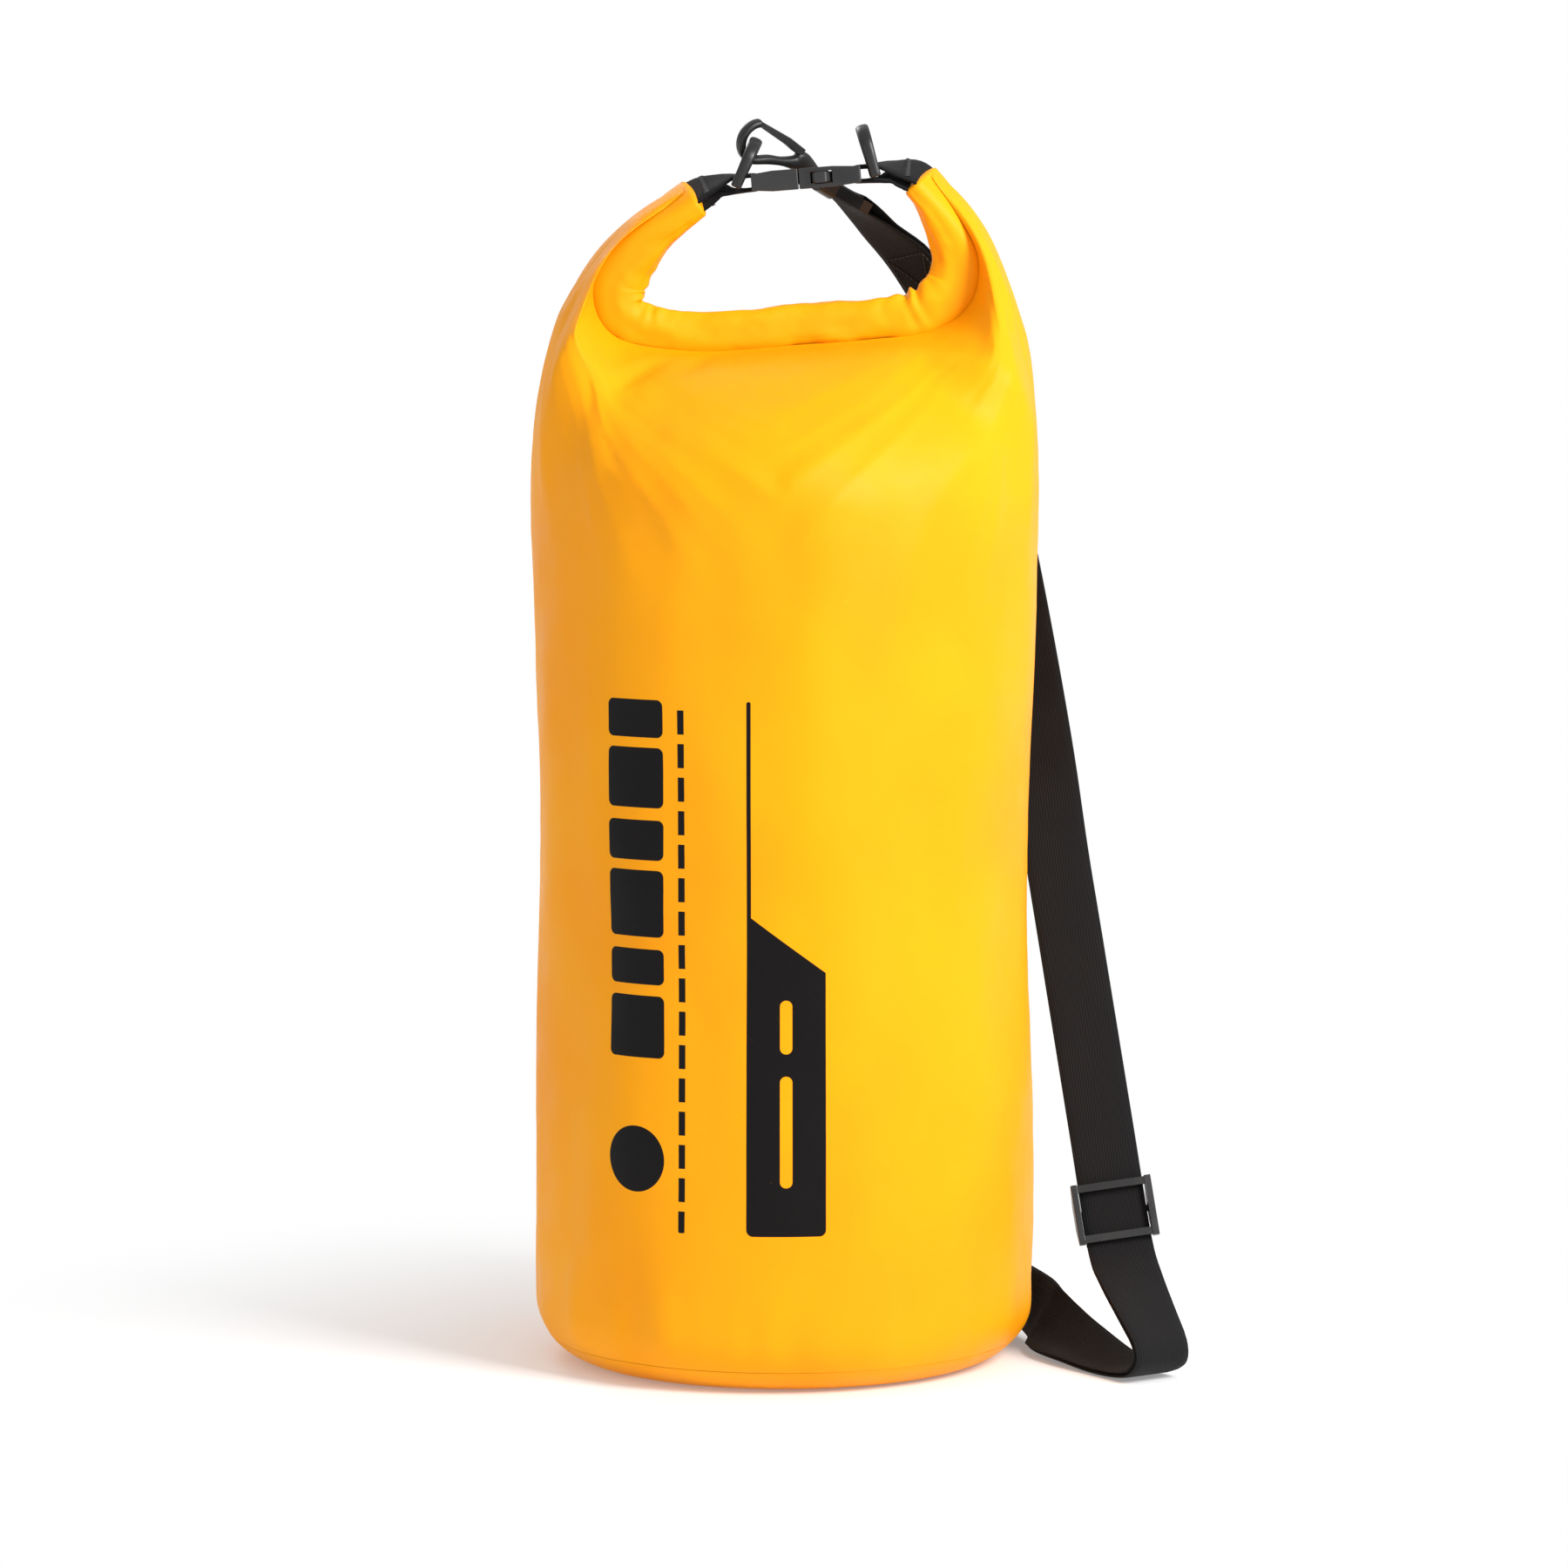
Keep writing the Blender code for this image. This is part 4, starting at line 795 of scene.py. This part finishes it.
ANCHOR_PLY = PATCH_FACE + 0.0012 + WEBBING_HALF


def strap_run():
    """Frames (centre, width direction, way) of the outer ply, from the hook to the anchor ring."""
    stops, fold = ([(Vector(c), Vector(w).normalized()) for c, w in part] for part in (ROUTE, FOLD))
    stops += [(STRAIGHT_TOP.lerp(STRAIGHT_FOOT, i / 4), STRAIGHT_ACROSS) for i in range(5)] + fold
    for azimuth, z, radius in ((24, 0.021, 0.1208), (36, 0.03, 0.1214), (46, 0.037, 0.123)):
        stops.append((polar(radius, radians(azimuth), z), -UP))
    azimuth = STRAP_BAR_AZIMUTH - radians(1.2)
    stops.append((polar(ANCHOR_RING_RADIUS + STRAP_LOOP, azimuth, ANCHOR_Z - 0.0005), -UP))
    centres = catmull([c for c, _ in stops], 6)
    across = catmull([w for _, w in stops], 6)
    return [(c, (w - t * w.dot(t)).normalized(), t)
            for c, w, t in zip(centres, across, tangents(centres))]


def even(frames, step=0.0008, passes=9):
    """The path in short even steps with its corners eased, and fewer rows where it is straight."""
    centres = np.array([tuple(c) for c, _ in frames])
    across = np.array([tuple(w.normalized()) for _, w in frames])
    along = np.concatenate(([0.0], np.cumsum(np.linalg.norm(np.diff(centres, axis=0), axis=1))))
    places = np.linspace(0.0, along[-1], int(along[-1] / step) + 2)
    columns = np.hstack([centres, across]).T
    path = np.array([np.interp(places, along, column) for column in columns]).T
    for _ in range(passes):
        path[1:-1] = (path[:-2] + 2 * path[1:-1] + path[2:]) / 4
    rows = [(Vector(row[:3]), Vector(row[3:]).normalized()) for row in path]
    ways = tangents([c for c, _ in rows])
    kept = [0]
    for i in range(1, len(rows) - 1):
        last = kept[-1]
        bent = ways[i].angle(ways[last]) > 0.1
        twisted = rows[i][1].angle(rows[last][1]) > 0.05
        if i - last >= 7 or bent or twisted:
            kept.append(i)
    return [rows[i] for i in kept + [len(rows) - 1]]


def webbing(name, frames, half_width, node, half_thick=WEBBING_HALF, body="bag"):
    mesh = strip_mesh(name, even(frames), half_width, half_thick)
    return piece(mesh, WEBBING, body, node)


def make_strap(run):
    """The long piece of webbing; returns where its loop ends and the sewn end's outer face."""
    frames = [(c, w) for c, w, _ in run]
    bar_way = towards(HOOK_NORMAL, run[0][1])
    first, across, way = run[0]
    leave = first - HOOK_BAR
    leave = (leave - bar_way * leave.dot(bar_way)).normalized()
    lift = towards(bar_way.cross(leave), UP)
    loop = [(HOOK_BAR - leave * cos(a) * HOOK_LOOP + lift * sin(a) * HOOK_LOOP, bar_way)
            for a in arc(84, -84)]
    under = towards(way.cross(across), -UP)
    sewn = [(c, w, towards(t.cross(w), under)) for c, w, t in run[:SEWN_FRAMES]]
    tail = [(c + n * PLY_STEP, w) for c, w, n in sewn]
    lower = (loop[-1][0].lerp(tail[0][0], 0.45), bar_way.lerp(across, 0.45))
    upper = (loop[0][0].lerp(first, 0.45) + lift * 0.0003, bar_way.lerp(across, 0.45))
    bar = polar(ANCHOR_RING_RADIUS, STRAP_BAR_AZIMUTH, ANCHOR_Z)
    outward, onward = upright_axes(STRAP_BAR_AZIMUTH)
    end = [(bar + (outward * sin(a) + onward * cos(a)) * EASED_STRAP_LOOP, -UP)
           for a in arc(90, -90)]
    route = tail[::-1] + [lower] + loop[::-1] + [upper] + frames[::2] + end
    webbing("shoulder_webbing", route, STRAP_HALF, "shoulder_strap")
    # The outer face of the sewn end, for its stitches
    proud = PLY_STEP + WEBBING_HALF + 0.00015
    face = [(c + n * proud, w, n) for c, w, n in sewn[5:-1]]
    return bar - outward * STRAP_LOOP, face


def make_return(run, loop_end):
    """The inner ply, in a lower piece that lies still and an upper one that loops round the
    slider's centre bar.
    """
    foot = min(range(len(run)), key=lambda i: (run[i][0] - STRAIGHT_FOOT).length)
    plies = []
    for c, w, t in run[foot:-1]:
        left = (run[-1][0] - c).length
        step = mix(0.0076, PLY_STEP, ease(left / 0.022))
        plies.append((c + t.cross(w) * step, w))
    onward = upright_axes(STRAP_BAR_AZIMUTH)[1]
    plies.append((loop_end - onward * 0.0006, -UP))
    webbing("return_webbing_lower", plies[::-1], STRAP_HALF, "strap_return")
    up = -STRAIGHT_WAY
    bar = SLIDER_CENTRE + STRAIGHT_NORMAL * SLIDER_BAR_DEPTH
    loop = [(bar + up * sin(a) * SLIDER_LOOP - STRAIGHT_NORMAL * cos(a) * SLIDER_LOOP,
             STRAIGHT_ACROSS) for a in arc(0, 180)]
    stem = [(STRAIGHT_FOOT + STRAIGHT_NORMAL * PLY_STEP + up * h, STRAIGHT_ACROSS)
            for h in (-0.001, 0.000, 0.001, 0.002, 0.003)]
    behind = STRAIGHT_NORMAL * (2 * PLY_STEP)
    tail = [(SLIDER_CENTRE + behind * 1.35 - up * 0.008, STRAIGHT_ACROSS),
            (SLIDER_CENTRE + behind * 1.05 - up * 0.0145, STRAIGHT_ACROSS)]
    upper = webbing("return_webbing_upper", stem + loop + tail, STRAP_HALF, None, body=None)
    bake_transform(upper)


def make_tab(name, way, node):
    """Webbing sewn into one end of the mouth, looped round a buckle bar and a D-ring bar.

    Returns the places of its bar tacks: (centre, width direction, normal).
    """
    to_handle = HANDLE.inverted()
    knee = Vector((way * 0.043, 0, -0.0012))
    sewn = [to_handle @ roll_at(way * 0.95)[0], to_handle @ roll_at(way)[0]]
    spine = catmull(sewn + [knee, Vector((way * 0.0385, 0, 0))], 5)
    tilt = HANDLE.to_3x3()
    plies = []
    tacks = []
    for side in (-1, 1):
        ply = []
        for i, (point, tangent) in enumerate(zip(spine, tangents(spine))):
            above = Vector((-tangent.z, 0, tangent.x)) * -way
            turn = mix(END_TWIST, radians(13), ease((i - 4) / (len(spine) - 5)))
            across = BACK * cos(turn) + above * sin(turn)
            normal = above * cos(turn) - BACK * sin(turn)
            ply.append((point + normal * side * TAB_PLY_HALF_STEP, across))
            if i == TACK_FRAME:
                face = point + normal * side * (TAB_PLY_HALF_STEP + TAB_HALF_THICK)
                tacks.append((HANDLE @ face, tilt @ across, tilt @ normal * side))
        for x, share, turn in ((0.0362, 0.94, 8), (0.0335, 1.0, 2), (0.029, 1.0, 0)):
            across = Vector((0, cos(radians(turn)), sin(radians(turn))))
            ply.append((Vector((way * x, 0, side * TAB_SPREAD * share)), across))
        plies.append(ply)
    loop = [(Vector((way * (BAR_CENTRE + TAB_SPREAD * cos(a)), 0, TAB_SPREAD * sin(a))),
             BACK) for a in arc(-90, -270)]
    frames = [(HANDLE @ c, tilt @ w) for c, w in plies[0] + loop + plies[1][::-1]]
    webbing(name, frames, TAB_HALF, node, TAB_HALF_THICK)
    return tacks


def rod(name, stations, upright, body, node):
    """A moulded rod with a rounded section through stations of (centre, half width, half depth)."""
    line = [centre for centre, _, _ in stations]
    points = np.zeros((len(line), SECTION_SIDES, 3))
    for i, ((centre, wide, deep), along) in enumerate(zip(stations, tangents(line))):
        outward = along.cross(upright).normalized()
        for j in range(SECTION_SIDES):
            a = 2 * pi * j / SECTION_SIDES
            c, s = cos(a), sin(a)
            reach = superellipse(c, s, 2.8)
            points[i, j] = centre + outward * wide * c * reach + upright * deep * s * reach
    flat = [[(k * 0.001, v) for k in range(SECTION_SIDES + 1)] for v in lengths_along(line)]
    piece(grid(name, points, flat, caps=True), PLASTIC, body, node=node)


def rounded(stations, pieces):
    """Stations through a smooth curve, with the two ends drawn in to round off the rod."""
    line = catmull([Vector(p) for p, _, _ in stations], pieces)
    sizes = catmull([Vector((wide, deep, 0)) for _, wide, deep in stations], pieces)
    smooth = [(p, size.x, size.y) for p, size in zip(line, sizes)]
    for end, inner in ((0, 1), (-1, -2)):
        p, wide, deep = smooth[end]
        out = (p - smooth[inner][0]).normalized()
        cap = [(p + out * far, wide * k, deep * k) for far, k in ((0.0005, 0.9), (0.0008, 0.66))]
        smooth = cap[::-1] + smooth if end == 0 else smooth + cap
    return smooth


def placed(matrix, stations):
    return [(matrix @ p, wide, deep) for p, wide, deep in stations]


def make_ring(name, way, lean, node, body):
    """A moulded D-ring, fullest at its crown, with its bar."""
    side = ((0.01465, -0.001, 0.0), (0.01465, 0.0045, 0.1), (0.01465, 0.01, 0.4),
            (0.0136, 0.0147, 0.7), (0.0092, 0.0188, 0.9), (0.0038, 0.0206, 1.0), (0, 0.0209, 1.0))
    side += tuple((-y, z, full) for y, z, full in side[-2::-1])
    arch = [((0, y, z), 0.0019, 0.0024 + 0.0006 * full) for y, z, full in side]
    bar = [((0, y, 0), 0.0016, 0.0016) for y in (-0.014, 0.0, 0.014)]
    place = HANDLE @ Matrix.Translation((way * RING_BAR, 0, 0))
    place = place @ Matrix.Rotation(lean + HANDLE_TILT, 4, "Y")
    thick_way = place.to_3x3() @ Vector((1, 0, 0))
    rod(name + "_arch", placed(place, rounded(arch, 6)), thick_way, body, node)
    rod(name + "_bar", placed(place, rounded(bar, 3)), thick_way, body, None)


def make_hook():
    """Hook body: swivel pin, shank, lower limb and curled nose in one rounded rod."""
    axes = Matrix((HOOK_UP, HOOK_RISE, HOOK_NORMAL)).transposed().to_4x4()
    frame_of = Matrix.Translation(HOOK_BAR) @ axes
    eye = (HOOK_EYE - HOOK_BAR).length
    curl = 0.0089
    stations = [((a, b, 0), wide, deep) for a, b, wide, deep in (
        (0.0095, 0.0, 0.0034, 0.0034), (0.0108, 0.0, 0.0034, 0.0034),
        (0.0114, 0.0, 0.0021, 0.0021), (0.0180, 0.0, 0.0021, 0.0021),
        (0.0190, 0.0, 0.0032, 0.0027), (0.0240, 0.0006, 0.0040, 0.0028),
        (0.0300, 0.0016, 0.0050, 0.0028), (0.0338, 0.0020, 0.0051, 0.0028),
        (0.0362, 0.0004, 0.0034, 0.0028), (0.0430, -0.0021, 0.0020, 0.0027),
        (0.0500, -0.0046, 0.0021, 0.0027),
    )]
    stations += [((eye + curl * cos(a), curl * sin(a), 0), 0.0018, 0.0027)
                 for a in arc(-112, 58, 10)]
    rod("hook_rod", placed(frame_of, rounded(stations, 4)), HOOK_NORMAL, "hook", "hook_body")


def make_anchor():
    """Welded patch low on the back, with the webbing loop sewn on it."""
    spread = ANCHOR_RING_RADIUS - ANCHOR_PLY
    end = PATCH_AZIMUTH[1] - radians(3)
    bar = polar(ANCHOR_RING_RADIUS, TAB_BAR_AZIMUTH, ANCHOR_Z)
    outward, onward = upright_axes(TAB_BAR_AZIMUTH)
    start = TAB_BAR_AZIMUTH + radians(1.5)
    frames = [(polar(ANCHOR_PLY, mix(end, start, i / 8), ANCHOR_Z), UP) for i in range(9)]
    frames += [(bar + (outward * sin(a) - onward * cos(a)) * spread, UP) for a in arc(-90, 90)]
    for i in range(1, 10):
        azimuth = mix(TAB_BAR_AZIMUTH, end, i / 9)
        down = ease((azimuth - TAB_BAR_AZIMUTH) / radians(7))
        radius = mix(ANCHOR_PLY + 2 * spread, ANCHOR_PLY + PLY_STEP, down)
        frames.append((polar(radius, azimuth, ANCHOR_Z), UP))
    webbing("anchor_webbing", frames, STRAP_HALF, "anchor_loop")
    # Patch: a pillowed skin with rounded corners over the tube
    across, up = 34, 30
    points = np.zeros((up + 1, across + 1, 3))
    flat = []
    start, stop = PATCH_AZIMUTH
    for i in range(up + 1):
        row = []
        for j in range(across + 1):
            x, y = 2 * j / across - 1, 2 * i / up - 1
            reach = (abs(x) ** 8 + abs(y) ** 8) ** (1 / 8)
            square = max(abs(x), abs(y))
            fit = square / reach if reach > 0 else 1.0
            azimuth = mix(start, stop, (x * fit + 1) / 2)
            z = ANCHOR_Z + 0.001 + 0.02 * y * fit
            proud = 0.0012 * (1 - ease((square - 0.93) / 0.07))
            proud -= 0.0006 * ease((square - 0.97) / 0.03)
            points[i, j] = polar(PATCH_FACE + proud, azimuth, z)
            row.append(((azimuth - start) * BAG_RADIUS, z))
        flat.append(row)
    mesh = grid("anchor_square", points, flat, closed=False)
    piece(mesh, FABRIC, node="anchor_patch")


# ---- stitches

class Stitches:
    """Short rounded lengths of thread, gathered into one mesh."""

    def __init__(self):
        self.verts = []
        self.faces = []

    def stitch(self, a, b, normal, thick=0.0003):
        way = (b - a).normalized()
        side = way.cross(normal).normalized()
        rise = side.cross(way)
        first = len(self.verts)
        profile = ((0.0, 0.0), (0.1, 0.75), (0.35, 1.0), (0.65, 1.0), (0.9, 0.75), (1.0, 0.0))
        for t, reach in profile:
            centre = a.lerp(b, t)
            arch = rise * (thick * 0.7 * sin(pi * t))
            for k in range(6):
                c, s = cos(2 * pi * k / 6), sin(2 * pi * k / 6)
                around = (side * c + rise * s) * thick * max(reach, 0.15)
                self.verts.append(tuple(centre + around + arch))
        for i in range(len(profile) - 1):
            for k in range(6):
                j = (k + 1) % 6
                lower, upper = first + i * 6, first + (i + 1) * 6
                self.faces.append((lower + k, lower + j, upper + j, upper + k))
        self.faces.append(tuple(first + k for k in reversed(range(6))))
        self.faces.append(tuple(first + (len(profile) - 1) * 6 + k for k in range(6)))

    def line(self, points, normals, pitch=0.0027, gap=0.0005):
        along = lengths_along(points)
        count = max(1, round(along[-1] / pitch))

        def at(length):
            k, t = at_length(along, length)
            return points[k].lerp(points[k + 1], t), normals[k].lerp(normals[k + 1], t)

        for i in range(count):
            a, normal = at(along[-1] * i / count + gap / 2)
            b, _ = at(along[-1] * (i + 1) / count - gap / 2)
            self.stitch(a, b, normal)

    def line_round(self, radius, azimuths, heights):
        """A line on an upright cylinder round the bag's axis."""
        self.line([polar(radius, a, z) for a, z in zip(azimuths, heights)],
                  [polar(1, a, 0) for a in azimuths])

    def box_round(self, radius, azimuths, low, high):
        for z in (low, high):
            self.line_round(radius, azimuths, [z] * len(azimuths))
        for a in (azimuths[0], azimuths[-1]):
            self.line_round(radius, (a, a), (low, high))

    def bar_tack(self, centre, across, normal, half_width, half_height=0.0014):
        """A dense zigzag across the webbing."""
        way = across.cross(normal).normalized()
        count = int(half_width * 2 / 0.0008)
        for i in range(count):
            x = -half_width + 2 * half_width * i / count
            flip = half_height if i % 2 else -half_height
            a = centre + across * x + way * flip
            b = centre + across * (x + 2 * half_width / count) - way * flip
            self.stitch(a, b, normal, 0.00026)

    def finish(self, name):
        mesh = bpy.data.meshes.new(name)
        mesh.from_pydata(self.verts, [], self.faces)
        piece(mesh, THREAD)


def make_stitches(face, tacks):
    sewn = Stitches()
    # Box and cross on the strap's sewn end below the hook
    width = STRAP_HALF - 0.0025
    normals = [n for _, _, n in face]
    last = len(face) - 1
    for side in (-width, width):
        sewn.line([c + w * side for c, w, _ in face], normals)
        sewn.line([c + w * side * (1 - 2 * i / last) for i, (c, w, _) in enumerate(face)], normals)
    for c, w, n in (face[0], face[-1]):
        sewn.line([c - w * width, c + w * width], [n, n])
    # Bar tacks on the closure tabs
    for centre, across, normal in tacks:
        sewn.bar_tack(centre, across, normal, 0.0105)
    # Box and cross on the anchor's webbing
    radius = ANCHOR_PLY + PLY_STEP + 0.001
    low, high = ANCHOR_Z - width, ANCHOR_Z + width
    a0, a1 = PATCH_AZIMUTH[0] + radians(8), PATCH_AZIMUTH[1] - radians(4.5)
    turns = [mix(a0, a1, i / 8) for i in range(9)]
    sewn.box_round(radius, turns, low, high)
    for a, b in ((high, low), (low, high)):
        sewn.line_round(radius, turns, [mix(a, b, i / 8) for i in range(9)])
    # Stitched edge of the patch
    inset = 0.0022
    edge = BAG_RADIUS + 0.0018
    a0, a1 = PATCH_AZIMUTH[0] + inset / edge, PATCH_AZIMUTH[1] - inset / edge
    low, high = ANCHOR_Z - 0.019 + inset, ANCHOR_Z + 0.021 - inset
    sewn.box_round(edge, [mix(a0, a1, i / 10) for i in range(11)], low, high)
    sewn.finish("stitching")


def dress_frame():
    """Materials for the CAD nodes that are shown as they are."""
    shown = dict.fromkeys((
        "buckle_socket", "buckle_plug", "buckle_arm_front", "buckle_arm_back", "hook_gate",
        "hook_swivel", "strap_slider", "anchor_ring",
    ), PLASTIC)
    shown["back_seam_tape"] = plain_material("seam_film", (0.72, 0.68, 0.6), 0.45, 260.0)
    shown["mouth_stiffener"] = plain_material("stiffener_strip", (0.7, 0.7, 0.67), 0.5, 90.0)
    for name, material in shown.items():
        node = NODES[name]
        node.data.materials.clear()
        node.data.materials.append(material)


dress_frame()
make_roll()
make_bag()
make_base()
RUN = strap_run()
LOOP_END, SEWN_FACE = make_strap(RUN)
make_return(RUN, LOOP_END)
TACKS = make_tab("tab_webbing_left", -1, "closure_tab_left")
TACKS += make_tab("tab_webbing_right", 1, "closure_tab_right")
make_ring("ring_rod_left", -1, radians(24), "d_ring_left", "ring_left")
make_ring("ring_rod_right", 1, radians(-16), "d_ring_right", "ring_right")
make_hook()
make_anchor()
make_stitches(SEWN_FACE, TACKS)


# ---- stage

FLOOR_RADIUS = 9.0


def mix_shaders(tree, factor, first, second, output):
    node = tree.nodes.new("ShaderNodeMixShader")
    for socket, out in zip(node.inputs, (factor, first.outputs[0], second.outputs[0])):
        tree.links.new(out, socket)
    tree.links.new(node.outputs[0], tree.nodes[output].inputs["Surface"])


def make_stage():
    """A round pale floor that glows away from the bag, in even white surroundings."""
    floor_mesh = bpy.data.meshes.new("floor")
    steps = 64
    ring = [tuple(polar(FLOOR_RADIUS, 2 * pi * k / steps, 0)) for k in range(steps)]
    floor_mesh.from_pydata(ring, [], [tuple(range(steps))])
    floor = add_object("floor", floor_mesh)
    n = Nodes("pale_floor")
    set_inputs(n.shader, Base_Color=(0.94, 0.94, 0.94, 1), Roughness=0.85, Specular_IOR_Level=0.15)
    glow = n.add("ShaderNodeEmission")
    far = n.add("ShaderNodeVectorMath", operation="LENGTH")
    n.link(n.place(), far.inputs[0])
    away = n.ramp(far.outputs["Value"], 0.1, 0.46, 0.18, 1.0)
    mix_shaders(n.tree, away, n.shader, glow, "Material Output")
    floor_mesh.materials.append(n.material)
    world = bpy.data.worlds.new("studio")
    SCENE.world = world
    world.use_nodes = True
    tree = world.node_tree
    # The camera sees white; the bag is lit by less than that
    seen = tree.nodes["Background"]
    set_inputs(seen, Color=(1.0, 1.0, 1.0, 1))
    soft = tree.nodes.new("ShaderNodeBackground")
    set_inputs(soft, Color=(0.97, 0.98, 1.0, 1), Strength=0.64)
    ray = tree.nodes.new("ShaderNodeLightPath")
    mix_shaders(tree, ray.outputs["Is Camera Ray"], soft, seen, "World Output")


def area_light(name, place, aim, size, power):
    data = bpy.data.lights.new(name, "AREA")
    data.shape = "RECTANGLE"
    data.size, data.size_y = size
    data.energy = power
    obj = add_object(name, data)
    obj.location = place
    obj.rotation_euler = (Vector(aim) - Vector(place)).to_track_quat("-Z", "Y").to_euler()


def make_camera():
    data = bpy.data.cameras.new("camera")
    data.lens = 140
    camera = add_object("camera", data)
    camera.location = (0.0, -2.8, 0.54)
    camera.rotation_euler = (radians(90 - 5.6), 0, 0)
    SCENE.camera = camera


make_stage()
area_light("key", (1.15, -1.05, 1.25), (0.03, 0, 0.34), (0.6, 0.8), 40)
area_light("back", (-0.9, 1.9, 1.6), (0, 0, 0.3), (0.8, 0.8), 10)
area_light("fill", (-1.3, -1.9, 0.6), (0, 0, 0.3), (1.2, 1.2), 2)
make_camera()
SCENE.view_settings.view_transform = "Standard"
